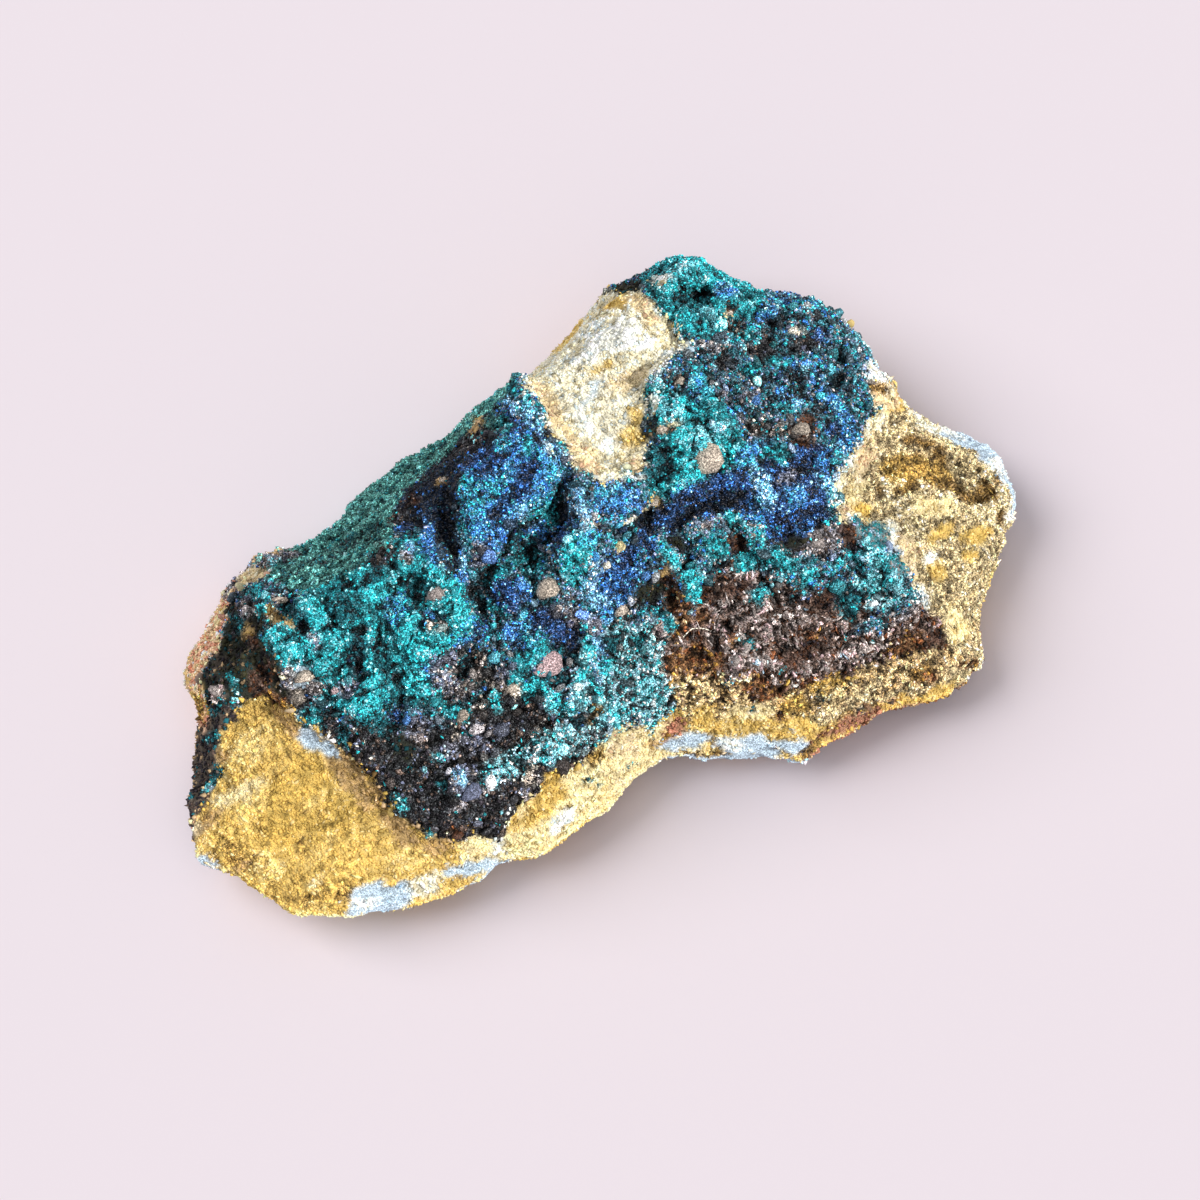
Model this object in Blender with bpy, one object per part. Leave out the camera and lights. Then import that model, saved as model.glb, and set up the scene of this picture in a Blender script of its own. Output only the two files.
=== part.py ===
"""Hand specimen of azurite and malachite crust on a broken slab of ochre sandstone.

The stone and its crust grew together, so the specimen is one solid. A blank is cut to the
slab's outline, its top is raised to the relief, the sides are drawn in towards a flat seat, the
rim is broken into facets, and the surface is roughened and reduced to a few thousand triangles.
"""

import bmesh
import bpy
import numpy as np
from mathutils import Vector, noise

# Driving dimensions, in millimetres. +X runs along the slab, +Z is up, the seat is at z = 0.
MM = 0.001
LENGTH = 83.8
WIDTH = 48.5
HEIGHT = 21.5

GROUND_SOFTNESS = 2.5  # how roundly the ground passes through its heights
SEAT_SCALE = 0.9  # outline of the underside, as a share of the slab's outline
SEAT_CURVE = 2.2  # how late the sides start to draw in towards it
SEAT_LIFT = 1.6  # how far the underside curves up at its rim
SEAT_REACH = 4.0  # width of that curved rim
SEAT_CUT = 0.3  # what is ground away below to make the seat flat
EDGE_DROP = 1.2  # how far the top is rounded off at the rim
EDGE_REACH = 1.8  # width of that rounding
CHIP_REACH = 9.0  # how far along the rim one broken facet goes
BROAD_NOISE = (7.0, 0.45)  # cell size and height of the broken stone's swells
CLOD_NOISE = (2.9, 1.0)  # the same for the clods of the crust
KNOB_NOISE = (1.7, 0.5)  # for the small knobs on them
SIDE_NOISE = (5.0, 0.8)  # and for the broken sides
BLANK_OVERSIZE = 1.015  # the blank is cut larger than the outline, as its rim wears back
BLANK_CELL = 0.9  # mesh size of the blank
ROUGH_CELL = 0.6  # mesh size at which the surface is roughened
MOST_TRIANGLES = 9400

# The slab's outline seen from above, anticlockwise from its west tip.
OUTLINE = [
    (-42.0, -4.8), (-40.0, -6.5), (-37.6, -8.8), (-36.1, -11.2), (-35.1, -13.8), (-32.5, -15.7),
    (-29.7, -16.8), (-26.7, -17.8), (-22.2, -18.3), (-19.2, -19.1), (-17.7, -18.7), (-13.7, -19.8),
    (-9.7, -18.5), (-4.7, -17.9), (0.2, -16.9), (1.8, -17.2), (5.3, -19.4), (9.3, -22.0),
    (11.8, -23.3), (13.2, -22.6), (20.2, -22.7), (24.6, -24.0), (29.9, -22.6), (32.6, -19.4),
    (35.4, -15.6), (38.5, -12.4), (41.4, -12.8), (43.0, -8.6), (42.6, -5.9), (39.6, -2.2),
    (37.0, -1.4), (36.2, 2.6), (34.5, 8.4), (32.3, 12.3), (30.8, 13.7), (27.6, 17.0),
    (26.3, 21.6), (24.8, 23.1), (22.5, 24.0), (20.0, 24.3), (17.8, 24.0), (15.2, 22.8),
    (10.8, 21.5), (5.0, 20.6), (2.0, 19.9), (-0.5, 20.5), (-2.5, 20.0), (-8.6, 19.5),
    (-15.2, 18.5), (-19.8, 17.4), (-23.8, 17.9), (-26.8, 16.7), (-30.4, 13.4), (-34.4, 9.8),
    (-35.4, 4.2), (-37.4, 4.0), (-40.2, -0.6), (-41.7, -3.0),
]

# Heights of the ground under the crust, point by point: x, y, z.
RIM_HEIGHTS = [
    (-42, -5, 6.2), (-38, -11, 6.4), (-34, -16, 6.6), (-28, -18, 6.4), (-20, -19.5, 6.6),
    (-13, -20, 6.6), (-5, -18, 7.0), (1, -17.5, 7.0), (7, -21.5, 6.2), (12, -23.5, 6.0),
    (20, -23.3, 6.2), (25, -24.5, 6.0), (30, -23, 6.2), (34, -18, 6.6), (38, -13.5, 6.6),
    (42, -9.5, 6.4), (39, -3, 7.6), (36.5, 1.5, 9.0), (35, 8, 9.4), (33, 13.5, 9.6),
    (28, 18, 9.8), (25, 23, 9.8), (19, 24.5, 11.2), (12, 22.5, 11.6), (5, 20.8, 8.8),
    (-3, 19, 6.6), (-10, 18, 5.8), (-18, 16, 5.4), (-24, 17, 5.8), (-29, 14.5, 6.8),
    (-34.5, 9, 7.4), (-36.5, 3.9, 7.4), (-40, -0.5, 6.8),
]
OCHRE_HEIGHTS = [
    (-37, -3, 8.2), (-33, -8, 8.6), (-29, -2, 10.2), (-28, -9, 9.4), (-25.5, -13, 8.6),
    (-31, 1.5, 9.8), (-33, -14, 7.6), (-18, -17.5, 8.0), (-10, -16, 8.6), (-3, -15, 9.2),
    (3, -16, 9.2), (10, -19, 8.6), (18, -20, 8.2), (26, -20, 8.0), (30, -12, 9.4),
    (27, -5, 11.4), (32, -4, 10.2), (37, -8, 8.2), (31, -18, 8.0), (33, 2, 11.0),
]
CRUST_HEIGHTS = [
    (-31, 8, 10.0), (-26, 5, 11.4), (-25, 12, 10.0), (-18, 12.4, 9.6), (-10, 14, 10.6),
    (-3, 15, 12.4), (3, 17.5, 14.0), (-20, -10, 8.6), (-15, -12, 8.4), (-20, 0, 11.0),
    (-16, 7, 12.4), (-11, 4, 13.6), (-8, 9, 13.4), (-8, -4, 11.8), (-5, -10, 10.4),
    (-1, 8.5, 15.6), (3, 13, 16.0), (-4, 3, 13.4), (1, 2, 15.6), (4, 4, 16.6),
    (0, -8, 11.8), (3, -3, 13.8), (8, -2, 15.0), (7, -10, 12.4), (12, -7, 13.2),
    (15, -13, 10.8), (22, -13, 10.8), (20, -4, 14.2), (14, 0, 15.6), (20, 6, 15.6),
    (26, 3, 13.4), (30, 7, 12.4), (24, 12, 14.4), (16, 9, 16.4), (22, 18, 15.0),
    (9, 15, 16.6), (14, 19, 16.2), (9, 8, 16.8),
]

# The crust's edge, the bare sandstone window in it and the table of blue crystals on it.
CRUST = [
    (-34.5, 9.5), (-34.6, 6.0), (-33.0, 4.2), (-29.5, 4.2), (-28.2, 2.0), (-27.4, 0.0),
    (-25.0, -3.2), (-24.2, -5.5), (-23.9, -9.0), (-23.0, -12.2), (-21.0, -15.2), (-19.0, -15.8),
    (-16.7, -16.5), (-14.0, -15.0), (-9.0, -14.1), (-5.0, -13.2), (-2.2, -13.4), (0.5, -14.4),
    (3.2, -13.4), (8.0, -16.0), (14.0, -17.6), (20.0, -18.0), (26.0, -17.4), (27.6, -15.0),
    (27.0, -11.0), (25.4, -8.0), (24.6, -5.4), (27.6, -1.4), (33.0, 1.0), (34.6, 4.0),
    (33.6, 11.0), (31.0, 14.6), (27.0, 18.0), (25.4, 21.6), (20.5, 23.6), (17.0, 22.6),
    (4.5, 19.0), (-2.0, 17.4), (-12.0, 15.0), (-20.0, 13.6), (-28.0, 13.4),
]
CRUST_THICKNESS = 2.4
CRUST_RAMP = 1.5
WINDOW = [
    (4.6, 21.5), (4.5, 17.0), (4.4, 13.0), (4.8, 9.2), (5.8, 6.6), (8.3, 5.0),
    (9.6, 5.2), (10.8, 6.8), (11.4, 9.2), (13.0, 9.8), (14.0, 12.2), (16.4, 12.6),
    (18.9, 13.7), (19.6, 16.4), (19.0, 19.0), (18.4, 23.0),
]
WINDOW_DEPTH = 1.3
WINDOW_RAMP = 0.9
BLUE_TABLE = [
    (-7.4, 5.6), (-5.8, 4.8), (-3.4, 5.2), (-1.4, 6.5), (1.0, 6.5), (2.4, 7.8),
    (2.6, 11.0), (2.0, 13.2), (-1.0, 13.6), (-4.2, 12.6), (-5.5, 10.4), (-6.8, 7.6),
]
BLUE_TABLE_RISE = 2.0
BLUE_TABLE_RAMP = 0.9
TEAL_TABLE = [
    (-27.0, 7.4), (-26.8, 3.6), (-24.4, 2.4), (-23.4, -2.4), (-21.6, -3.4), (-18.6, -4.2),
    (-15.6, -3.6), (-12.4, -1.6), (-10.0, -0.6), (-9.4, 2.6), (-10.4, 6.2), (-12.4, 9.6),
    (-16.0, 9.0), (-20.0, 9.8), (-23.4, 9.6),
]
TEAL_TABLE_RISE = 1.5
TEAL_TABLE_RAMP = 1.2

# Ridges: height, half width and the line that each follows.
RIDGES = [
    (1.5, 1.5, [(-12.7, 9.8), (-11.6, 7.2), (-10.6, 5.8), (-10.1, 3.0), (-10.6, 0.4), (-13.6, 0.1)]),
    (2.4, 2.0, [(-1.0, -1.4), (0.4, 0.2), (2.2, 1.9), (4.0, 3.6), (4.6, 5.4)]),
    (0.9, 1.4, [(3.9, 18.4), (3.7, 14.0), (4.2, 11.2), (4.6, 8.0), (5.0, 5.4)]),
    (0.9, 1.1, [(-9.2, 3.9), (-8.1, 5.1), (-6.9, 6.0)]),
    (1.2, 1.1, [(-26.0, 12.4), (-25.2, 10.9), (-26.2, 9.4)]),
    (0.9, 1.1, [(-22.5, 8.8), (-22.8, 6.4), (-22.7, 4.2), (-24.1, 3.6)]),
    (1.1, 1.0, [(-19.2, 2.8), (-19.8, 0.4), (-20.1, -1.0)]),
    (1.2, 1.0, [(-22.6, -1.4), (-21.7, -2.6), (-20.6, -1.4)]),
    (1.8, 1.7, [(19.9, 21.2), (22.4, 20.9), (24.6, 19.4), (25.8, 16.4)]),
    (1.0, 1.0, [(19.6, 13.4), (21.7, 12.2)]),
    (1.1, 1.0, [(13.2, 8.6), (13.4, 5.4), (12.6, 2.8), (11.2, 1.2)]),
    (0.9, 1.3, [(16.8, 9.2), (18.2, 6.4), (18.2, 3.2)]),
    (1.2, 1.0, [(7.8, -1.6), (8.5, -3.6), (9.3, -5.2), (8.4, -7.4)]),
    (0.9, 0.9, [(10.2, -4.6), (9.3, -6.2)]),
    (1.2, 0.9, [(15.4, -3.2), (16.1, -5.0), (16.1, -7.0), (17.6, -9.0), (18.8, -11.0)]),
    (1.0, 1.2, [(24.0, -8.0), (25.0, -11.0), (26.4, -14.0)]),
    (1.0, 1.4, [(27.4, 14.6), (30.0, 13.6), (32.0, 12.6)]),
    (1.0, 1.2, [(36.6, -2.6), (38.8, -5.6), (40.3, -8.4), (40.2, -11.0)]),
    (0.8, 1.2, [(-28.4, -0.6), (-27.0, -2.6), (-25.4, -3.8)]),
    (0.7, 1.3, [(-37.0, 2.0), (-33.4, 4.6), (-33.6, 8.0)]),
]

# Clefts and troughs: depth, half width and line.
CLEFTS = [
    (2.6, 1.3, [(-2.6, 2.9), (0.0, 3.5), (1.8, 4.8), (3.2, 6.4)]),
    (1.7, 1.4, [(-8.5, 1.4), (-8.9, 3.0), (-8.0, 7.4), (-7.4, 9.6)]),
    (1.3, 1.6, [(8.4, 0.6), (11.0, 0.0), (14.0, -0.8), (16.6, -2.8), (18.2, -5.0), (20.6, -6.4)]),
    (1.2, 0.9, [(-24.0, 9.6), (-23.9, 7.6), (-23.8, 5.4)]),
    (1.0, 1.0, [(13.6, -3.2), (14.6, -5.4), (15.4, -8.4)]),
    (1.0, 1.0, [(23.0, -7.6), (23.6, -9.8), (22.6, -11.4)]),
]

# Lumps: x, y, half length, half width, turn in degrees and height. Pits have a height below 0.
LUMPS = [
    (-25.8, 5.8, 2.3, 2.0, 0, 1.5), (-25.4, 6.2, 0.9, 0.9, 0, -1.0),
    (-15.2, 1.0, 2.8, 2.2, 20, 1.1), (-17.6, 3.4, 1.2, 1.0, 0, 0.9),
    (-13.0, 5.6, 1.6, 1.9, 0, -1.6), (-18.8, 6.4, 1.8, 1.4, 30, 0.9),
    (-10.4, 8.9, 1.2, 1.2, 0, 0.9), (-15.6, 9.6, 1.3, 1.1, 0, 0.8),
    (-5.7, 0.7, 1.5, 2.3, -10, 1.6), (-3.0, -0.4, 1.3, 1.0, -20, 0.9),
    (6.7, 3.6, 2.4, 2.0, 0, 1.5), (3.6, -1.8, 2.5, 2.2, 0, -1.1),
    (-6.0, -6.0, 1.3, 1.3, 40, 1.1), (-8.6, -6.4, 2.0, 1.5, 30, 1.2),
    (-6.8, -8.7, 1.1, 1.3, 0, 1.0), (-4.8, -10.4, 1.2, 1.0, 0, 0.8),
    (-2.4, -4.6, 1.7, 1.3, 0, -1.0), (-20.0, -3.6, 1.2, 1.0, 0, -0.9),
    (-15.2, -6.0, 1.4, 1.1, 20, 0.8), (-17.0, -11.4, 1.8, 1.5, 30, 1.2),
    (-19.0, -13.2, 1.9, 1.3, 10, 1.0), (-15.2, -13.0, 1.4, 1.1, 0, 0.9),
    (-13.0, -3.6, 1.8, 1.3, 0, -0.9), (6.0, -5.6, 1.7, 2.3, 20, -1.3),
    (5.4, -7.9, 0.9, 0.9, 0, 0.9), (22.0, 18.2, 2.1, 1.9, 30, -3.0),
    (21.0, 15.6, 1.4, 1.8, 0, 0.8), (19.6, 20.8, 1.3, 1.1, 0, 0.9),
    (15.4, 3.6, 1.5, 1.4, 0, 0.9), (12.4, 7.8, 1.5, 1.7, 0, -1.2),
    (10.8, 3.9, 1.9, 1.6, 20, -1.1), (14.9, 11.4, 1.2, 1.2, 0, 1.1),
    (18.5, -2.0, 1.2, 2.0, 0, 1.0), (21.2, -3.2, 1.9, 1.6, 0, 0.9),
    (11.8, -3.4, 1.4, 1.6, 20, 1.1), (14.2, -7.0, 1.6, 1.4, 0, 0.9),
    (9.4, -4.2, 0.8, 0.9, 0, -1.0), (23.4, 13.8, 1.1, 1.0, 0, -1.4),
    (25.6, 9.8, 1.4, 1.1, 0, -1.2), (26.6, 6.9, 1.2, 1.0, 0, -1.2),
    (21.6, 8.9, 1.3, 1.0, 0, -1.0), (23.0, 10.6, 1.5, 1.2, 0, 0.9),
    (28.6, 10.4, 1.6, 1.3, 0, 1.0), (28.4, 4.6, 1.5, 1.3, 0, -1.1),
    (25.2, 1.8, 1.7, 1.5, 0, 0.8), (30.6, 8.0, 1.3, 1.0, 0, -1.0),
    (34.3, 3.8, 1.1, 1.5, 30, 0.9), (36.6, -7.4, 3.4, 1.7, -50, -1.8),
    (33.8, -4.2, 2.2, 1.6, -40, -0.9), (26.8, -5.8, 1.5, 1.3, 0, 0.8),
    (30.2, -12.4, 1.6, 1.2, 0, 0.7), (33.0, -12.6, 2.6, 1.8, 0, -0.6),
    (-33.0, -11.0, 4.0, 2.4, 20, -0.6), (-31.5, -4.8, 3.6, 2.4, -10, 0.7),
    (-35.4, -9.2, 2.6, 1.6, 60, 0.5), (14.6, 16.0, 2.0, 1.7, 0, 0.5),
    (9.0, 17.6, 3.0, 2.2, 20, 0.5), (20.5, -17.2, 2.6, 1.3, 0, 0.6),
    (8.4, -14.4, 2.2, 1.5, 0, 0.6), (13.4, -19.6, 1.2, 1.0, 0, -0.7),
]

# Where the crust lies calmer: x, y, half length, half width, turn, share of the clods taken away.
CALM_AREAS = [
    (-2.0, 10.0, 5.5, 4.6, 20, 0.65), (-8.0, 12.5, 5.0, 3.6, 40, 0.7),
    (14.0, -13.5, 13.0, 4.5, -4, 0.45),
    (-20.0, -8.5, 5.0, 7.0, 25, 0.3), (-18.0, 12.5, 9.0, 3.0, 5, 0.6),
]

# Flat facets where the rim broke: a point on the facet, then the bearing and the tilt of its
# outward normal, in degrees. A tilt below 0 undercuts the rim.
RIM_CHIPS = [
    (-28.0, -17.0, 5.6, -96, 42), (-21.6, -18.3, 5.8, -91, 40), (6.6, -20.2, 5.4, -118, 38),
    (-38.4, -10.4, 6.0, -148, 28), (-41.2, -4.6, 6.0, 176, 24), (-35.0, 7.2, 7.0, 171, 34),
    (-30.6, 12.6, 7.0, 132, 42), (39.6, -4.6, 6.6, 34, 36), (41.0, -10.6, 5.8, -12, 34),
    (35.6, -15.0, 6.0, -52, 30), (32.0, -21.6, 5.8, -48, 30), (17.0, -22.6, 5.6, -92, 36),
    (26.0, -23.6, 5.6, -78, 32), (30.4, 15.6, 10.0, 47, 30), (36.0, 5.6, 9.6, 10, 36),
    (22.6, 23.8, 10.4, 92, 30), (11.4, 21.8, 12.6, 106, 34), (-12.0, -19.2, 6.0, -84, 34),
    (-34.0, -14.4, 2.6, -125, -32), (-8.0, -18.0, 2.4, -88, -36), (12.0, -22.4, 2.6, -95, -34),
    (31.0, -20.6, 2.4, -50, -34), (38.4, -9.0, 2.6, -4, -38), (33.6, 10.4, 3.4, 24, -30),
    (8.0, 20.4, 4.0, 104, -24), (-22.0, 15.2, 2.4, 92, -36), (-37.4, -1.0, 2.6, 168, -36),
]


def segment_distances(points, line, closed):
    """The distance from each point to the nearest stretch of the line."""
    starts = np.array(line, float)
    ends = np.roll(starts, -1, axis=0)
    if not closed:
        starts, ends = starts[:-1], ends[:-1]
    nearest = np.full(len(points), np.inf)
    for start, end in zip(starts, ends):
        along = end - start
        share = np.clip((points - start) @ along / (along @ along), 0, 1)
        gap = points - start - share[:, None] * along
        nearest = np.minimum(nearest, np.hypot(gap[:, 0], gap[:, 1]))
    return nearest


def inside(points, outline):
    """True where a point lies within the closed outline, by counting crossings."""
    corners = np.array(outline, float)
    within = np.zeros(len(points), bool)
    for (x0, y0), (x1, y1) in zip(corners, np.roll(corners, -1, axis=0)):
        spans = (y0 > points[:, 1]) != (y1 > points[:, 1])
        rise = y1 - y0 if y1 != y0 else 1.0
        crossing = x0 + (points[:, 1] - y0) * (x1 - x0) / rise
        within ^= spans & (points[:, 0] < crossing)
    return within


def depth_within(points, outline):
    """How far each point lies inside the outline, below 0 outside it."""
    distance = segment_distances(points, outline, closed=True)
    return np.where(inside(points, outline), distance, -distance)


def ramp(depth, width):
    """0 outside, 1 once the depth passes the width, with a smooth rise between."""
    share = np.clip(depth / width + 0.5, 0, 1)
    return share * share * (3 - 2 * share)


def ground_surface(points):
    """A smooth surface through the heights of the ground."""
    spots = np.array(RIM_HEIGHTS + OCHRE_HEIGHTS + CRUST_HEIGHTS, float)

    def kernel(at):
        offsets = at[:, None, :] - spots[None, :, :2]
        return np.sqrt((offsets**2).sum(axis=2) + GROUND_SOFTNESS**2)

    weights = np.linalg.solve(kernel(spots[:, :2]), spots[:, 2])
    return kernel(points) @ weights


def oval_distance(points, x, y, half_length, half_width, turn):
    """The squared distance from an oval's centre, 1 on its edge."""
    angle = np.radians(turn)
    offset = points - (x, y)
    along = offset @ (np.cos(angle), np.sin(angle)) / half_length
    across = offset @ (-np.sin(angle), np.cos(angle)) / half_width
    return along**2 + across**2


def lump_relief(points):
    """The rounded lumps and pits, added together."""
    relief = np.zeros(len(points))
    for *oval, height in LUMPS:
        relief += height * np.clip(1 - oval_distance(points, *oval) / 1.6, 0, None) ** 1.5
    return relief


def calmness(points):
    """How much of the crust's clods is left at each point, 1 for all of them."""
    left = np.ones(len(points))
    for *oval, share in CALM_AREAS:
        left *= 1 - share * ramp(1.2 - oval_distance(points, *oval), 1)
    return left


def line_relief(points, lines):
    """Ridges along the lines. The highest counts where two meet."""
    relief = np.zeros(len(points))
    for height, half_width, line in lines:
        distance = segment_distances(points, line, closed=False) / half_width
        relief = np.maximum(relief, height * np.clip(1 - distance**2 / 1.4, 0, None) ** 1.2)
    return relief


def top_surface(points):
    """Height of the specimen's upper face over each point in plan."""
    crust = ramp(depth_within(points, CRUST), CRUST_RAMP)
    window = ramp(depth_within(points, WINDOW), WINDOW_RAMP)
    blue = ramp(depth_within(points, BLUE_TABLE), BLUE_TABLE_RAMP)
    teal = ramp(depth_within(points, TEAL_TABLE), TEAL_TABLE_RAMP)
    height = ground_surface(points) + CRUST_THICKNESS * crust - WINDOW_DEPTH * window
    height += BLUE_TABLE_RISE * blue + TEAL_TABLE_RISE * teal
    return height + lump_relief(points) + line_relief(points, RIDGES) - line_relief(points, CLEFTS)


def swell(point, cell, height, seed):
    """Smooth noise of the given cell size and height, the same on every run."""
    return height * noise.fractal(Vector(point) / cell + Vector((seed, seed, seed)), 1.0, 2.0, 2)


def clod(point, cell, height):
    """Rounded clods packed side by side, with creases between them."""
    nearest = noise.voronoi(Vector(point) / cell)[0][0]
    return height * (0.5 - 1.6 * nearest**2)


def positions(mesh):
    """The mesh's points, in millimetres."""
    flat = np.empty(len(mesh.vertices) * 3, np.float32)
    mesh.vertices.foreach_get("co", flat)
    return flat.reshape(-1, 3).astype(float) / MM


def move_points(mesh, points):
    mesh.vertices.foreach_set("co", (points * MM).astype(np.float32).ravel())
    mesh.update()


def slab_blank():
    """A flat blank, as thick as the specimen is high, cut to the slab's outline."""
    shape = bmesh.new()
    rim = [shape.verts.new((x * MM, y * MM, 0)) for x, y in OUTLINE]
    bmesh.ops.scale(shape, verts=rim, vec=(BLANK_OVERSIZE, BLANK_OVERSIZE, 1))
    face = shape.faces.new(rim)
    raised = bmesh.ops.extrude_face_region(shape, geom=[face])["geom"]
    top = [item for item in raised if isinstance(item, bmesh.types.BMVert)]
    bmesh.ops.translate(shape, verts=top, vec=(0, 0, HEIGHT * MM))
    bmesh.ops.recalc_face_normals(shape, faces=shape.faces)
    mesh = bpy.data.meshes.new("specimen")
    shape.to_mesh(mesh)
    shape.free()
    return mesh


def apply_modifier(rock, kind, **settings):
    """Adds a modifier, and keeps its result as the object's mesh."""
    modifier = rock.modifiers.new(kind.title(), kind)
    for name, value in settings.items():
        setattr(modifier, name, value)
    graph = bpy.context.evaluated_depsgraph_get()
    result = bpy.data.meshes.new_from_object(rock.evaluated_get(graph))
    rock.modifiers.remove(modifier)
    rock.data = result


def raise_relief(mesh):
    """Turns the flat blank into the rock: its top at the relief, its sides drawn in below."""
    points = positions(mesh)
    level = np.clip(points[:, 2] / HEIGHT, 0, 1)
    plan = points[:, :2]
    depth = np.clip(depth_within(plan, OUTLINE), 0, None)
    underside = SEAT_LIFT * np.clip(1 - depth / SEAT_REACH, 0, 1) ** 2
    top = top_surface(plan) - EDGE_DROP * np.clip(1 - depth / EDGE_REACH, 0, 1) ** 2
    points[:, 2] = underside + (top - underside) * level
    drawn_in = 1 - (1 - SEAT_SCALE) * (1 - level) ** SEAT_CURVE
    points[:, :2] = plan * drawn_in[:, None]
    move_points(mesh, points)


def break_rim(mesh):
    """Planes the rim back to each broken facet."""
    points = positions(mesh)
    for x, y, z, bearing, tilt in RIM_CHIPS:
        turn, lean = np.radians(bearing), np.radians(tilt)
        outward = np.array((np.cos(turn) * np.cos(lean), np.sin(turn) * np.cos(lean), np.sin(lean)))
        offset = points - (x, y, z)
        near = np.clip(2 - 2 * np.hypot(offset[:, 0], offset[:, 1]) / CHIP_REACH, 0, 1)
        beyond = np.clip(offset @ outward, 0, None)
        points -= (near * beyond)[:, None] * outward
    move_points(mesh, points)


def roughen(mesh):
    """Moves each point along its normal: clods on the crust, swells and chips on the rest."""
    points = positions(mesh)
    flat = np.empty(len(mesh.vertices) * 3, np.float32)
    mesh.vertex_normals.foreach_get("vector", flat)
    normals = flat.reshape(-1, 3).astype(float)
    crust = ramp(depth_within(points[:, :2], CRUST), CRUST_RAMP)
    crust *= 1 - ramp(depth_within(points[:, :2], WINDOW), WINDOW_RAMP)
    crust *= calmness(points[:, :2]) * np.clip(normals[:, 2] * 2, 0, 1)
    shift = np.empty(len(points))
    for index, (point, upright) in enumerate(zip(points, normals[:, 2])):
        side = min(max(1.2 - abs(upright) * 1.6, 0), 1)
        shift[index] = swell(point, *BROAD_NOISE, 11.0) + side * swell(point, *SIDE_NOISE, 37.0)
        shift[index] += crust[index] * (clod(point, *CLOD_NOISE) + clod(point, *KNOB_NOISE))
    above_seat = np.clip(points[:, 2] / SEAT_LIFT, 0, 1)
    points += normals * (shift * above_seat)[:, None]
    move_points(mesh, points)


def flatten_seat(mesh):
    """Presses what is near the ground into one flat seat at z = 0."""
    points = positions(mesh)
    points[:, 2] = np.maximum(points[:, 2] - SEAT_CUT, 0)
    move_points(mesh, points)


def fit_to_size(mesh):
    """Sets the overall size, with the origin at the bottom centre of the box."""
    points = positions(mesh)
    low, high = points.min(axis=0), points.max(axis=0)
    centre = (low + high) / 2
    centre[2] = low[2]
    points = (points - centre) * (np.array((LENGTH, WIDTH, HEIGHT)) / (high - low))
    move_points(mesh, points)


def stone_material():
    """The colour of the ochre sandstone, which shows all round the crust."""
    material = bpy.data.materials.new("ochre_sandstone")
    material.use_nodes = True
    shader = material.node_tree.nodes["Principled BSDF"]
    shader.inputs["Base Color"].default_value = (0.55, 0.36, 0.11, 1)
    shader.inputs["Roughness"].default_value = 0.85
    shader.inputs["Metallic"].default_value = 0.0
    return material


def main():
    for item in list(bpy.data.objects):
        bpy.data.objects.remove(item, do_unlink=True)
    rock = bpy.data.objects.new("specimen", slab_blank())
    bpy.context.collection.objects.link(rock)
    apply_modifier(rock, "REMESH", mode="VOXEL", voxel_size=BLANK_CELL * MM)
    raise_relief(rock.data)
    apply_modifier(rock, "REMESH", mode="VOXEL", voxel_size=ROUGH_CELL * MM)
    break_rim(rock.data)
    roughen(rock.data)
    flatten_seat(rock.data)
    apply_modifier(rock, "TRIANGULATE")
    share = MOST_TRIANGLES / len(rock.data.polygons)
    apply_modifier(rock, "DECIMATE", ratio=share, use_collapse_triangulate=True)
    fit_to_size(rock.data)
    rock.data.name = "specimen"
    rock.data.materials.clear()
    rock.data.materials.append(stone_material())


main()
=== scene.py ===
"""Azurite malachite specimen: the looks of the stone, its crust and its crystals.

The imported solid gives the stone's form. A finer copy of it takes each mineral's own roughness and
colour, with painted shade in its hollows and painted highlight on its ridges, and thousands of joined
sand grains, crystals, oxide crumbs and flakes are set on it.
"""

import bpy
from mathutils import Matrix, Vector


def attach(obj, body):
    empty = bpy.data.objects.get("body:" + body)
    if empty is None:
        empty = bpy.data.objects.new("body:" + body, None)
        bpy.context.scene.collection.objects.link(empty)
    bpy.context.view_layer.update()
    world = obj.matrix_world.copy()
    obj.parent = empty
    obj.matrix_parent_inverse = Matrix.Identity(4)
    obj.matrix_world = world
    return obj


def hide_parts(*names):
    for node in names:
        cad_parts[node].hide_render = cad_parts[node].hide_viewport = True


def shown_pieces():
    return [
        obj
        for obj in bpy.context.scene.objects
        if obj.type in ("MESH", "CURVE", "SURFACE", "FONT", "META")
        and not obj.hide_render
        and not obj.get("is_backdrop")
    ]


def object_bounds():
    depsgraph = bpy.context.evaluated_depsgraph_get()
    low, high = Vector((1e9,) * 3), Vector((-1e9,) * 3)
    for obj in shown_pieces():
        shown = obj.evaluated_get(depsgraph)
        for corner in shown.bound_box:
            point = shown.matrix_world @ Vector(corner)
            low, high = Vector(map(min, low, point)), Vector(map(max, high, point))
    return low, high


bl_info = {
    "name": "Azurite malachite specimen",
    "version": (1, 0, 0),
    "blender": (4, 5, 0),
    "location": "3D View > Sidebar > Specimen",
    "description": "Dresses a hand specimen of azurite and malachite on sandstone",
    "category": "Object",
}

from collections import namedtuple

import bmesh
import bpy
import numpy as np
from mathutils import Matrix, Vector
from mathutils.bvhtree import BVHTree

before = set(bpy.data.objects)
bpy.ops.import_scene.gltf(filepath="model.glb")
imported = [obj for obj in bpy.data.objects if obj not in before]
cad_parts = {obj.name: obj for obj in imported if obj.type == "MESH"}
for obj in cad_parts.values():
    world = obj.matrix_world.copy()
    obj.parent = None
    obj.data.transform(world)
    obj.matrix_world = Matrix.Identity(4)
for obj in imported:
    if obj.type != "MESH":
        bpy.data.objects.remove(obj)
CAD_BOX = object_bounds()
NODE = "specimen"
BODY = "root"
MM = 0.001

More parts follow.
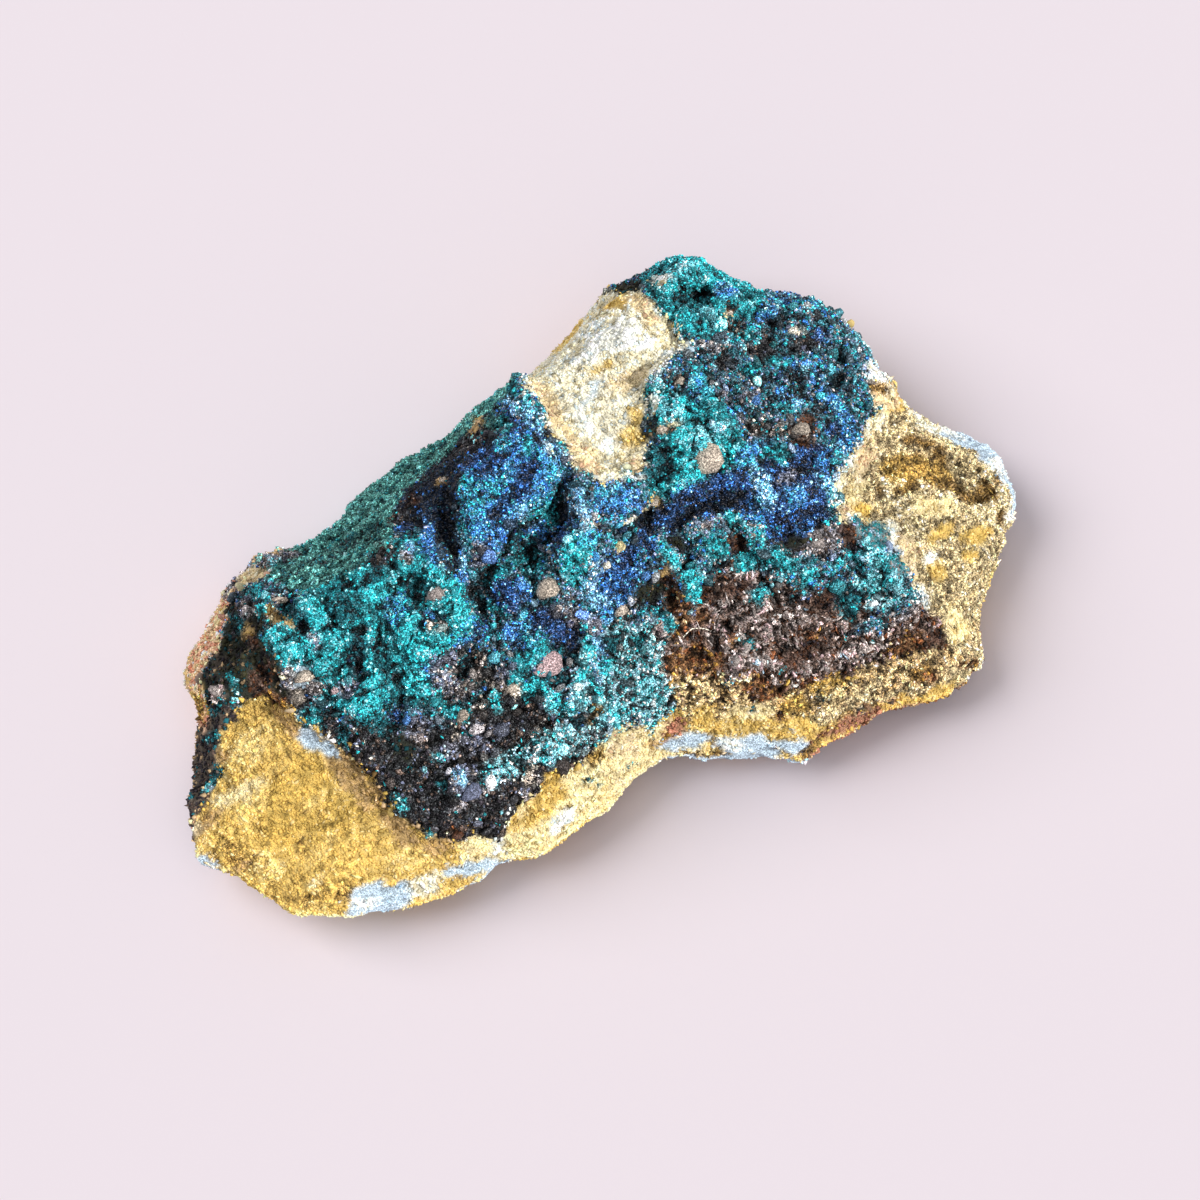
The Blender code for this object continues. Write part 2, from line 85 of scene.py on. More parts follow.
# Colours of the minerals, as they look in plain daylight.
PALETTE = {
    "gold": ("#DBB75C", "Golden sandstone"),
    "straw": ("#F4E2AC", "Pale sand grains"),
    "tan": ("#C4A67E", "Tan sandstone"),
    "honey": ("#A67D38", "Iron-stained sandstone"),
    "bone": ("#F4EEDC", "Bleached sand"),
    "ice": ("#B9D5E9", "Pale clay along the rim"),
    "blush": ("#C98A70", "Fibrous pink-brown crust"),
    "rust": ("#633A20", "Rust in the hollows"),
    "umber": ("#5C4B42", "Brown flakes"),
    "beige": ("#AC9F91", "Beige grains in the crust"),
    "rose": ("#B3999B", "Rose-grey grains in the crust"),
    "mauve": ("#948A86", "Grey-pink flakes"),
    "lilac": ("#6E748C", "Grey-violet oxide"),
    "soot": ("#262127", "Black oxide"),
    "navy": ("#121A3C", "Nearly black azurite"),
    "azure": ("#2862AA", "Azurite"),
    "sky": ("#7DB4DE", "Pale azurite"),
    "turquoise": ("#1F969D", "Malachite"),
    "aqua": ("#8ACFDA", "Pale malachite tips"),
    "teal": ("#1A626C", "Dark malachite"),
    "moss": ("#568E85", "Velvety flank"),
    "olive": ("#45432A", "Olive stain"),
}

# A finish: how far it stands out in millimetres, its relief, the kind of grain on it, how much of
# it the grains cover, and its colours, with each one's brightness and share.
Finish = namedtuple("Finish", "lift relief grain cover tones")
FINISHES = {
    "golden_sand": Finish(0, "sandy", "sand", 0.85, (
        ("gold", 1.0, 7), ("straw", 0.9, 2), ("honey", 1.1, 0.8))),
    "yellow_sand": Finish(0, "sandy", "sand", 0.85, (
        ("gold", 0.92, 8), ("straw", 0.75, 1), ("honey", 1.1, 0.8))),
    "pale_gold": Finish(0.05, "sandy", "sand", 0.85, (("gold", 1.1, 6), ("straw", 0.95, 4))),
    "pale_sand": Finish(0.05, "sandy", "sand", 0.85, (
        ("straw", 1.0, 6), ("bone", 0.9, 1.6), ("gold", 1.0, 1.6))),
    "tawny_sand": Finish(0, "sandy", "sand", 0.7, (
        ("tan", 0.95, 5), ("honey", 0.9, 2), ("gold", 0.8, 2))),
    "tan_sand": Finish(0, "pitted", "sand", 0.9, (
        ("straw", 0.8, 5), ("bone", 0.7, 1.4), ("tan", 0.75, 2), ("honey", 0.65, 2),
        ("umber", 1.1, 0.8))),
    "brown_sand": Finish(-0.25, "pitted", "sand", 0.85, (
        ("honey", 0.65, 4), ("tan", 0.55, 2), ("umber", 0.8, 1.4), ("gold", 0.7, 1))),
    "orange_sand": Finish(-0.05, "pitted", "sand", 0.8, (
        ("honey", 1.1, 4), ("gold", 0.85, 3), ("umber", 0.9, 0.8), ("straw", 0.8, 1))),
    "cream_sand": Finish(0, "sandy", "sand", 0.85, (
        ("straw", 1.0, 4.6), ("bone", 1.02, 4), ("gold", 1.1, 0.7), ("ice", 1.15, 2))),
    "white_sand": Finish(0.1, "sandy", "sand", 0.8, (
        ("bone", 1.12, 6), ("ice", 1.25, 3), ("straw", 1.05, 1))),
    "peach_sand": Finish(0, "sandy", "sand", 0.85, (
        ("straw", 0.95, 5), ("blush", 1.3, 1), ("tan", 1.15, 2), ("bone", 0.95, 2))),
    "pale_clay": Finish(0.05, "fibrous", "sand", 0.1, (
        ("ice", 1.0, 5.5), ("bone", 0.95, 2), ("sky", 1.1, 1.2), ("lilac", 1.6, 1.4))),
    "pink_fibres": Finish(0, "fibrous", "flake", 0.1, (
        ("blush", 1.55, 4), ("tan", 1.7, 5), ("bone", 1.2, 2))),
    "russet_fibres": Finish(0, "fibrous", "flake", 0.1, (
        ("blush", 0.75, 5), ("rust", 1.2, 2), ("tan", 0.9, 2))),
    "rust_brown": Finish(-0.2, "flaky", "crumb", 0.6, (
        ("rust", 1.2, 5), ("honey", 0.7, 1.6), ("umber", 1.0, 2.4), ("tan", 0.8, 0.8))),
    "umber_flakes": Finish(0, "flaky", "flake", 0.9, (
        ("umber", 1.05, 4.4), ("mauve", 0.85, 2.6), ("rust", 1.0, 1.8), ("soot", 1.1, 1),
        ("rose", 0.9, 0.7))),
    "mauve_flakes": Finish(0.25, "flaky", "flake", 0.95, (
        ("mauve", 1.0, 4.6), ("umber", 1.0, 3.6), ("ice", 0.7, 0.3), ("rust", 0.9, 1),
        ("rose", 1.1, 1))),
    "orange_flakes": Finish(0, "flaky", "sand", 0.9, (
        ("straw", 0.9, 3.2), ("tan", 1.05, 2), ("honey", 1.0, 2.6), ("umber", 1.0, 1.4),
        ("rust", 1.2, 1.2), ("rose", 0.9, 0.5))),
    "rubble": Finish(0.1, "clods", "crumb", 0.8, (
        ("umber", 0.65, 4), ("mauve", 0.7, 2), ("beige", 0.8, 1), ("teal", 0.8, 2),
        ("soot", 1, 2))),
    "black_oxide": Finish(0.2, "clods", "crumb", 0.85, (
        ("soot", 0.55, 8), ("umber", 0.5, 2.2), ("lilac", 0.5, 0.7), ("turquoise", 0.9, 0.2),
        ("aqua", 0.9, 0.1), ("bone", 0.7, 0.1))),
    "black_rim": Finish(0.05, "sandy", "crumb", 0.7, (
        ("soot", 1.4, 4), ("umber", 0.9, 3), ("teal", 1.0, 1), ("tan", 0.9, 1.2))),
    "violet_oxide": Finish(0.3, "clods", "crumb", 0.8, (
        ("lilac", 0.75, 4.5), ("mauve", 0.72, 2.4), ("soot", 1.2, 3), ("ice", 0.9, 0.6))),
    "grey_oxide": Finish(0.3, "clods", "crumb", 0.8, (
        ("mauve", 0.7, 5), ("lilac", 0.8, 2), ("umber", 0.75, 2.6), ("ice", 0.9, 0.5))),
    "salt_pepper": Finish(0.2, "clods", "malachite", 0.9, (
        ("turquoise", 0.8, 3), ("aqua", 0.8, 2.6), ("soot", 1.2, 2.6), ("mauve", 1.0, 1.8),
        ("ice", 0.85, 1.2))),
    "bright_malachite": Finish(0.4, "velvet", "malachite", 0.95, (
        ("turquoise", 1.1, 7), ("aqua", 0.75, 1.6), ("teal", 1.1, 2.4))),
    "malachite": Finish(0.2, "velvet", "malachite", 0.9, (
        ("turquoise", 0.8, 4.4), ("aqua", 0.6, 0.9), ("teal", 0.9, 4), ("soot", 1.2, 1.2))),
    "dark_malachite": Finish(-0.05, "velvet", "malachite", 0.85, (
        ("teal", 0.85, 6), ("turquoise", 0.5, 1.6), ("soot", 1.1, 3), ("aqua", 0.4, 0.3))),
    "pale_malachite": Finish(0.3, "clods", "malachite", 0.9, (
        ("aqua", 0.75, 3.8), ("turquoise", 0.9, 4), ("ice", 0.8, 1.2), ("teal", 0.9, 2))),
    "moss_green": Finish(0.1, "velvet", "malachite", 0.75, (
        ("moss", 1.08, 7), ("teal", 1.0, 2), ("turquoise", 0.9, 1), ("aqua", 0.6, 0.5))),
    # dark_moss: a darker copy of moss_green on the flank's upper slope that faces away from the
    # light; partly darker crust, partly painted shade.
    "dark_moss": Finish(0, "velvet", "malachite", 0.75, (
        ("moss", 0.6, 5), ("teal", 0.7, 3), ("soot", 1.2, 1.6))),
    "azurite": Finish(0.3, "sugary", "azurite", 0.95, (
        ("azure", 0.95, 4.8), ("sky", 0.9, 1), ("navy", 0.9, 2.8), ("turquoise", 0.9, 2),
        ("aqua", 0.8, 0.3))),
    "vivid_azurite": Finish(0.4, "sugary", "azurite", 0.95, (
        ("azure", 1.15, 5), ("sky", 1.0, 1.5), ("navy", 1.1, 3), ("turquoise", 0.8, 0.8))),
    "deep_azurite": Finish(0.2, "sugary", "azurite", 0.95, (
        ("azure", 0.4, 4), ("navy", 0.8, 5.4), ("azure", 1.2, 1.2), ("sky", 0.8, 0.5),
        ("soot", 0.8, 1.6))),
    "blue_green": Finish(0.35, "sugary", "azurite", 0.95, (
        ("turquoise", 1.0, 4), ("azure", 1.0, 2.6), ("aqua", 0.8, 1.2), ("navy", 1.4, 1.4))),
    "pale_azurite": Finish(0.4, "sugary", "azurite", 0.9, (
        ("sky", 0.85, 4), ("ice", 0.85, 1.6), ("azure", 1.1, 2), ("turquoise", 1.0, 2),
        ("aqua", 0.75, 1))),
    # navy_slope: near-black blue on the slope that faces away from the light; partly dark azurite,
    # partly painted shade.
    "navy_slope": Finish(0.1, "velvet", "azurite", 0.75, (
        ("navy", 0.25, 4.4), ("soot", 0.35, 4.4), ("teal", 0.35, 1), ("azure", 0.9, 0.5))),
    # black_hollow: near-black laid in hollows and clefts; partly dark oxide, partly painted shade.
    "black_hollow": Finish(-0.15, "velvet", "crumb", 0.7, (
        ("soot", 0.9, 4), ("teal", 0.6, 4), ("navy", 0.9, 1))),
    "green_black": Finish(0.25, "clods", "malachite", 0.9, (
        ("soot", 1.1, 4), ("teal", 0.85, 3.2), ("mauve", 0.7, 1.2), ("lilac", 0.9, 1.1),
        ("turquoise", 0.75, 1.5), ("azure", 0.8, 1), ("aqua", 0.6, 0.5))),
    "slate_teal": Finish(0.2, "smooth", "malachite", 0.6, (
        ("turquoise", 0.8, 3), ("mauve", 0.8, 2), ("ice", 0.65, 1.4), ("teal", 1.1, 2))),
    "olive_stain": Finish(0, "sandy", "crumb", 0.7, (
        ("olive", 0.45, 4), ("soot", 0.5, 2.8), ("teal", 0.4, 1.6), ("tan", 0.35, 0.5))),
    "dark_brown": Finish(-0.1, "pitted", "crumb", 0.7, (
        ("rust", 0.8, 3), ("umber", 0.9, 4), ("soot", 1.2, 2))),
    "beige_crust": Finish(0.2, "clods", "crumb", 0.8, (
        ("beige", 1.0, 5), ("mauve", 1.1, 2), ("bone", 0.8, 1))),
    "pale_crest": Finish(0.45, "sugary", "azurite", 0.9, (
        ("ice", 0.75, 2.4), ("sky", 0.8, 2.4), ("mauve", 1.1, 2.4), ("turquoise", 0.9, 2.2),
        ("azure", 1.0, 1.6))),
}
NAMES = list(FINISHES)

# Where the larger areas lie, seen from above, each laid over those before it.
AREAS = [
    ("tan_sand", [
        (22.5, -4), (27, -1.5), (31, 0.5), (38, 1), (45, -4), (45, -15), (36, -17), (32, -25),
        (27.5, -25), (28.2, -19), (27.2, -15), (26, -11), (24, -8)]),
    ("pale_sand", [
        (-19, -17), (-15.6, -16.2), (-12, -15), (-7, -13.8), (-2, -13.8), (1, -15), (4, -16),
        (4.5, -19), (-2, -17.5), (-8, -19), (-14, -21), (-20, -20)]),
    ("green_black", [
        (-34.4, 9.3), (-34.5, 6.0), (-33.0, 4.2), (-29.5, 4.2), (-28.3, 2.0), (-27.8, 0.0),
        (-25.6, -3.2), (-24.7, -5.5), (-24.2, -9.0), (-23.0, -12.4), (-21.2, -15.4), (-19.0, -16.0),
        (-16.7, -16.9), (-14.0, -15.2), (-9.0, -14.3), (-5.0, -13.6), (-2.2, -13.8), (0.5, -14.8),
        (3.2, -13.8), (8.0, -16.0), (14.0, -17.8), (20.0, -19.0), (27.0, -19.6), (28.2, -18.0),
        (27.2, -15.0), (27.0, -11.0), (25.4, -8.0), (24.4, -5.4), (27.2, -2.2), (31.0, 0.2),
        (34.8, 1.6), (36.4, 7.0), (34.0, 13.0), (31.0, 16.0), (29.0, 19.0), (26.4, 23.6),
        (20.5, 25.2), (17.0, 24.0), (4.5, 20.6), (-2.0, 21.0), (-12.0, 20.0), (-22.0, 18.0),
        (-28.0, 17.4), (-29.5, 14.0)]),
    ("black_oxide", [
        (-28, 1.4), (-26, 1.6), (-24.6, -2.0), (-22.6, -3.6), (-19.4, -4.8), (-16.4, -6.6),
        (-12, -5.4), (-8.6, -5.8), (-7.4, -8.6), (-6.4, -12.0), (-4, -13), (-6, -14.4),
        (-14, -15.6), (-16.7, -17.2), (-21.4, -15.8), (-24.4, -10), (-25, -5)]),
    ("moss_green", [
        (-24.6, 18.5), (-24.2, 12.0), (-22.4, 9.2), (-18, 9.6), (-14.6, 9.8), (-12.8, 10.4),
        (-12, 12.8), (-9.6, 14.6), (-6, 15.9), (-2, 17.2), (0.4, 17.4), (2.0, 17.0), (3.6, 18.6),
        (4.6, 21.5), (-4, 21.4), (-14, 20.4), (-20, 18.8)]),
    ("malachite", [
        (-27.4, 8.6), (-27.2, 3.4), (-25.4, 2.6), (-24.8, 0.6), (-23.6, -2.2), (-21.6, -3.2),
        (-18.8, -2.8), (-17.4, -4.4), (-15.6, -4.2), (-13.4, -2.0), (-10.2, -0.8), (-9.6, 2.6),
        (-10.4, 5.6), (-11.2, 9.8), (-14, 10), (-18, 10), (-22.2, 9.6)]),
    ("navy_slope", [
        (-12.4, 12.6), (-11.4, 11.2), (-9.8, 9.0), (-10.3, 6.8), (-9.8, 4.6), (-8.4, 5.4),
        (-7.4, 7.4), (-6.6, 9.6), (-5.2, 11.8), (-2.0, 12.9), (-0.6, 13.4), (-0.6, 16.4),
        (-2.6, 17.2), (-6, 16.2), (-10, 14.9)]),
    ("azurite", [
        (-7.0, 8.6), (-6.9, 6.2), (-5.6, 4.9), (-4.2, 5.0), (-3.8, 5.8), (-1.6, 6.0), (0.6, 6.4),
        (2.2, 7.2), (2.6, 9.0), (2.0, 12.4), (0.8, 13.2), (-1.4, 12.7), (-4.4, 12.4),
        (-5.6, 10.6)]),
    ("deep_azurite", [
        (7.6, 1.4), (7.2, -1.0), (9.4, -1.2), (12.6, -1.8), (15.6, -2.2), (16.2, -4.0),
        (16.8, -6.2), (19.4, -6.6), (22.6, -6.4), (24.0, -4.8), (25.2, -1.8), (27.4, -0.4),
        (24.0, 0.4), (19.0, 0.6), (14.0, 1.3), (10.4, 1.2)]),
    ("malachite", [
        (12.6, 10.8), (13.4, 11.4), (15.4, 10.6), (16.4, 8.8), (17.2, 10.6), (18.8, 10.8),
        (18.6, 7.0), (18.8, 2.0), (17.4, 1.2), (12.4, 1.6), (10.2, 1.2), (8.6, 1.8), (9.4, 4.0),
        (11.4, 5.4), (12.8, 7.6)]),
    ("malachite", [
        (18.8, 13.2), (18.3, 16.0), (18.2, 19.6), (19.2, 22.6), (21.2, 25.4), (25.8, 24.2),
        (28.6, 20.0), (29.4, 16.8), (27.4, 14.2), (24.6, 13.6), (22.2, 12.8), (20.6, 12.6)]),
    ("umber_flakes", [
        (3.6, -10.0), (5.6, -9.4), (8.4, -8.0), (9.8, -6.2), (12.6, -5.8), (14.0, -7.6),
        (16.2, -9.4), (17.6, -11.6), (20.6, -12.4), (22.6, -14.8), (26.8, -16.2), (28.4, -18.0),
        (28.2, -20.4), (22.0, -19.4), (17.6, -19.0), (12.6, -17.2), (8.0, -15.2), (4.0, -13.8),
        (3.2, -11.6)]),
    ("orange_flakes", [
        (2.8, -13.6), (8.0, -15.2), (12.6, -17.4), (17.6, -19.2), (22.0, -19.6), (28.4, -20.4),
        (28.6, -22.6), (24.4, -23.4), (18.0, -21.6), (13.0, -20.4), (8.2, -17.6), (3.4, -16.2)]),
    ("salt_pepper", [
        (-4.4, -8.0), (-2.4, -5.2), (0.6, -5.6), (3.4, -5.6), (4.4, -8.2), (3.8, -11.0),
        (3.4, -13.8), (1.6, -15.0), (-1.0, -13.9), (-4.8, -13.8), (-5.2, -11.8)]),
    ("cream_sand", [
        (4.8, 22.5), (4.4, 18.4), (4.0, 15.6), (3.9, 12.6), (4.4, 9.6), (4.8, 6.4), (5.6, 4.6),
        (8.2, 4.2), (9.6, 5.0), (10.6, 6.6), (11.2, 8.4), (12.4, 9.4), (13.2, 11.6), (16.2, 12.2),
        (18.0, 13.2), (18.6, 15.6), (18.2, 18.8), (17.8, 21.6), (14.6, 24.5)]),
    ("black_rim", [
        (-42.8, -4.4), (-41.0, -4.0), (-40.2, -2.2), (-38.0, -1.2), (-36.5, 0.2), (-35.9, 2.0),
        (-34.6, 3.1), (-32.6, 3.9), (-32.8, 5.0), (-34.4, 5.8), (-36.6, 5.2), (-39.0, 4.4),
        (-41.5, 0.5)]),
    ("olive_stain", [
        (-34.4, 8.4), (-34.2, 5.8), (-32.4, 4.6), (-29.6, 4.1), (-28.2, 1.6), (-27.0, 2.2),
        (-27.3, 6.0), (-27.6, 8.6), (-26.4, 9.6), (-27.0, 12.4), (-28.4, 14.2), (-30.0, 12.0),
        (-31.0, 10.4), (-33.2, 9.4)]),
    ("pink_fibres", [
        (-36.4, 4.6), (-34.8, 5.2), (-34.6, 8.2), (-33.4, 9.6), (-31.2, 10.4), (-30.2, 12.0),
        (-29.0, 13.6), (-27.4, 15.2), (-28.0, 17.0), (-31.4, 14.8), (-35.0, 11.0)]),
]

# Smaller patches laid over those, in this order: a finish and its ovals. Each oval has its x, y,
# half length, half width and, where it is turned, its turn in degrees.
PATCHES = [
    # Bare sandstone in the west.
    ("yellow_sand", (-31.5, -5.6, 5.4, 2.6, 25), (-29.0, -9.0, 3.6, 1.7, 20)),
    ("pale_gold", (-36.8, -9.4, 1.6, 1.2, -50), (-24.6, -14.9, 2.6, 1.0, -20),
     (-31.4, -10.4, 2.2, 0.5, 15), (-30.4, -6.6, 1.6, 0.4, 12)),
    ("tawny_sand", (-26.3, -5.4, 1.2, 2.6, 15), (-25.4, -8.8, 0.9, 1.8, 10),
     (-24.3, -12.2, 1.0, 1.9, 25), (-38.2, -8.3, 1.1, 0.4, -25), (-22.2, -15.3, 1.2, 0.7, -35)),
    ("pale_clay", (-25.6, -17.2, 2.4, 0.7, -8), (-20.9, -17.9, 1.7, 0.6, -25),
     (-18.8, -18.6, 1.4, 0.4, 10)),
    ("brown_sand", (-32.8, -9.3, 0.5, 0.35), (-37.4, -8.5, 0.6, 0.3, -20)),
    ("pale_sand", (-35.4, -2.6, 3.0, 0.9, -10)),
    ("pale_gold", (-35.2, -3.9, 2.4, 0.8, 10), (-32.6, 0.6, 2.8, 1.3, 10)),
    ("tawny_sand", (-28.9, 0.8, 0.6, 2.2, 15), (-35.3, 1.4, 0.9, 1.0, 20),
     (-39.4, -3.2, 1.6, 0.7, 25)),
    ("orange_sand", (-39.2, -5.6, 1.3, 0.5, 40), (-38.6, -6.9, 0.9, 0.6, 30)),
    ("pale_clay", (-27.9, -1.6, 0.6, 1.2, 30), (-26.6, -3.1, 0.5, 1.1, 40),
     (-41.2, -6.2, 1.4, 0.4, -45)),
    ("golden_sand", (-33.4, -13.0, 3.0, 0.8, -12)),
    ("pale_sand", (-34.6, -2.3, 0.7, 0.35, -20), (-33.2, -12.7, 0.8, 0.4, 10)),
    ("pale_gold", (-35.0, -14.8, 1.6, 0.9, -30)),
    ("orange_sand", (-31.4, -15.0, 1.3, 0.8, 20), (-34.4, -13.8, 1.6, 0.35, -12)),
    ("pale_clay", (-28.9, -16.8, 3.2, 1.4, -10)),
    ("cream_sand", (-24.2, -17.4, 1.6, 1.0)),
    ("golden_sand", (-21.8, -18.6, 0.9, 0.4, -10)),
    ("pale_sand", (-18.8, -17.0, 2.0, 0.8)),
    ("white_sand", (-17.2, -17.4, 0.8, 0.6)),
    ("black_oxide", (-17.0, -16.4, 0.8, 0.9)),
    # The southern belt.
    ("golden_sand", (-12.0, -16.4, 3.4, 0.8, 12)),
    ("malachite", (-6.9, -16.2, 0.7, 0.25, -15), (-3.4, -16.8, 0.4, 0.2)),
    ("yellow_sand", (-10.6, -15.2, 1.4, 0.4, 20)),
    ("orange_sand", (-5.4, -15.0, 0.8, 0.6)),
    ("peach_sand", (-3.0, -15.2, 1.6, 0.8)),
    ("brown_sand", (-10.4, -17.6, 0.35, 0.25)),
    ("white_sand", (-11.0, -18.2, 1.2, 0.5, 10)),
    ("russet_fibres", (1.8, -15.9, 1.6, 0.6, 20)),
    ("tawny_sand", (0.2, -15.9, 1.2, 0.5, -15)),
    ("pale_clay", (2.3, -17.0, 2.6, 0.45, -18), (11.4, -21.9, 1.6, 0.7, -28)),
    ("orange_sand", (5.3, -18.5, 0.5, 0.6)),
    ("pale_clay", (7.8, -20.1, 3.0, 0.9, -29)),
    ("brown_sand", (3.8, -18.8, 2.4, 0.35, -33), (12.6, -22.9, 1.2, 0.4)),
    ("russet_fibres", (17.4, -22.5, 3.8, 0.6, -3)),
    # The north-western corner.
    ("malachite", (-33.9, 5.3, 0.5, 0.6, 30), (-38.0, -0.3, 0.9, 0.4, 30), (-35.4, 3.6, 1.0, 0.5)),
    ("peach_sand", (-25.8, 15.7, 1.6, 1.0, -15), (-40.6, -2.8, 0.8, 0.35, 60)),
    ("grey_oxide", (-27.4, 12.0, 1.0, 1.2, 20), (-28.0, 15.6, 0.9, 0.5, 40),
     (-22.6, 16.2, 2.2, 0.6, -10)),
    ("tawny_sand", (-28.4, 9.8, 0.6, 1.0), (-25.8, 9.4, 0.45, 1.3, 25), (-25.0, 7.9, 0.35, 1.1, 25),
     (-24.0, 17.4, 1.6, 0.4, -15)),
    ("dark_brown", (-29.2, 5.0, 1.3, 1.2), (-28.4, 8.6, 0.7, 1.0)),
    ("pale_malachite", (-26.7, 13.6, 0.4, 0.5), (-23.4, 15.8, 0.6, 0.5)),
    ("rust_brown", (-28.6, 3.0, 0.45, 1.4, 15)),
    ("malachite", (-31.6, 6.0, 0.5, 0.8)),
    ("mauve_flakes", (-33.2, 6.1, 0.8, 0.5, -40)),
    ("black_rim", (-32.0, 8.8, 1.4, 0.7, 20)),
    ("dark_malachite", (-28.9, 11.6, 0.5, 1.6, 15)),
    ("beige_crust", (-24.4, 10.4, 0.8, 0.3, -30)),
    ("bright_malachite", (-25.7, 12.7, 0.4, 1.9, 8), (-26.3, 10.6, 0.7, 0.6, 30)),
    ("pale_clay", (-38.2, -0.8, 0.35, 0.2)),
    ("dark_malachite", (-37.0, 0.2, 1.0, 0.5, 30)),
    ("orange_sand", (-35.4, 7.0, 0.5, 1.4)),
    ("pale_sand", (-30.0, 13.6, 1.2, 0.6, 40)),
    # The great malachite mass.
    ("bright_malachite", (-26.6, 6.6, 0.45, 2.0), (-26.5, 8.2, 0.5, 0.6), (-14.2, -0.5, 2.2, 0.9),
     (-12.0, -0.3, 1.5, 0.9), (-10.9, 2.2, 0.8, 2.2, -8), (-11.2, 5.0, 0.7, 1.4, 22)),
    # The dark_malachite and black_hollow ovals of the mass darken its hollows: partly darker mineral,
    # partly painted shade.
    ("dark_malachite", (-20.2, 6.4, 2.2, 1.5), (-20.6, 3.6, 1.8, 1.0), (-15.9, 7.8, 1.8, 0.8),
     (-18.8, 8.5, 1.8, 0.7), (-23.8, 7.0, 0.9, 1.4)),
    ("black_hollow", (-20.9, 2.2, 0.9, 0.9), (-13.6, 4.4, 0.8, 1.5, 15), (-24.0, 9.4, 0.7, 1.2),
     (-23.7, 6.7, 0.6, 1.2)),
    ("bright_malachite", (-25.3, 7.2, 0.7, 0.3), (-22.6, 8.0, 0.45, 1.2, -22),
     (-17.5, 8.6, 0.9, 0.6, 50), (-16.8, 6.1, 1.1, 0.6, 10), (-12.7, 6.9, 1.0, 0.45, -45)),
    ("violet_oxide", (-23.6, 4.9, 0.8, 0.7)),
    ("bright_malachite", (-26.1, 5.0, 0.9, 0.8), (-24.9, 4.8, 0.9, 0.6, 20), (-24.6, 6.1, 0.4, 0.9),
     (-22.7, 5.8, 0.5, 1.5), (-23.3, 3.1, 1.3, 0.8), (-21.3, 4.0, 0.9, 0.8)),
    ("dark_malachite", (-25.4, 6.1, 0.55, 0.6), (-19.8, 3.3, 0.8, 1.2), (-18.5, 6.4, 0.7, 0.9)),
    ("black_hollow", (-21.4, 1.6, 0.7, 1.3), (-20.2, 2.9, 0.7, 0.6)),
    ("pale_clay", (-25.6, 2.9, 0.8, 0.9)),
    ("beige_crust", (-26.8, 2.0, 0.8, 0.6, 20)),
    ("grey_oxide", (-25.2, 1.5, 0.7, 0.6), (-27.0, 3.6, 0.6, 0.8)),
    ("bright_malachite", (-19.9, 0.9, 0.45, 1.8, -20)),
    ("dark_malachite", (-18.8, 1.2, 0.9, 2.4, -10)),
    ("bright_malachite", (-18.5, 2.9, 0.35, 0.6, -30), (-21.9, -2.4, 1.4, 0.5, 10)),
    ("violet_oxide", (-22.8, 0.2, 1.1, 1.0)),
    ("bright_malachite", (-22.5, 1.4, 0.8, 0.6), (-23.4, -1.3, 0.4, 1.2, 20),
     (-20.9, -0.9, 0.5, 0.9, 20)),
    ("malachite", (-19.4, -1.3, 0.5, 0.9, 40)),
    ("deep_azurite", (-19.9, -3.5, 0.8, 0.6)),
    ("black_hollow", (-18.7, -3.0, 0.9, 0.7)),
    ("dark_malachite", (-22.0, -3.4, 2.0, 0.5, -20), (-18.6, -0.4, 0.7, 1.6)),
    ("bright_malachite", (-16.0, 0.7, 1.7, 1.9), (-17.0, -1.8, 1.1, 0.9)),
    ("blue_green", (-15.8, 4.0, 1.0, 1.2), (-15.4, -1.9, 0.9, 0.8)),
    ("malachite", (-14.8, 6.6, 0.9, 0.6)),
    ("bright_malachite", (-16.7, -3.4, 0.9, 0.7)),
    ("dark_malachite", (-13.2, 4.6, 1.0, 1.7, 20)),
    ("grey_oxide", (-11.9, 3.1, 0.8, 0.6), (-12.9, 8.0, 0.5, 0.9, 10)),
    ("black_hollow", (-13.4, 1.2, 1.0, 0.7)),
    ("vivid_azurite", (-13.4, 1.7, 0.35, 0.45), (-11.0, 6.0, 0.4, 0.5)),
    ("beige_crust", (-13.3, 0.6, 0.7, 0.25, -20)),
    ("pale_azurite", (-12.3, 8.2, 0.4, 1.0, 15)),
    ("vivid_azurite", (-10.4, 8.8, 0.6, 1.5, -25), (-11.0, 7.2, 0.6, 0.6)),
    ("black_oxide", (-14.6, 9.2, 1.4, 1.0)),
    ("dark_moss", (-17.0, 9.6, 1.4, 0.6)),
    ("deep_azurite", (-11.5, 10.6, 0.8, 0.5)),
    ("azurite", (-11.6, -1.2, 1.4, 0.3, 5)),
    ("deep_azurite", (-9.8, -0.9, 0.9, 0.5)),
    ("malachite", (-9.5, -1.3, 0.5, 0.4, 30)),
    ("violet_oxide", (-13.8, -1.8, 1.6, 0.6)),
    # The flank above it.
    ("dark_moss", (-20.5, 12.6, 3.4, 0.9), (-22.6, 14.0, 0.6, 1.6), (-4.0, 18.2, 3.0, 0.6, 5)),
    ("black_hollow", (-18.0, 12.4, 0.9, 0.5)),
    ("dark_moss", (-16.6, 13.0, 3.0, 1.3, -10), (-14.4, 12.4, 1.8, 1.2)),
    ("black_oxide", (-11.4, 12.2, 1.2, 0.8), (-2.2, 15.4, 1.4, 1.4)),
    ("tawny_sand", (-6.4, 13.3, 0.45, 0.5), (-0.6, 17.2, 0.3, 0.9), (-1.4, 16.6, 0.3, 0.7)),
    ("dark_brown", (-9.6, 13.2, 0.6, 1.0)),
    ("moss_green", (-13.0, 17.2, 6.0, 1.6, 8)),
    ("dark_moss", (0.0, 15.6, 0.8, 1.6)),
    # The blue arm and the table of azurite.
    ("vivid_azurite", (-9.2, 4.3, 0.45, 1.2, -50)),
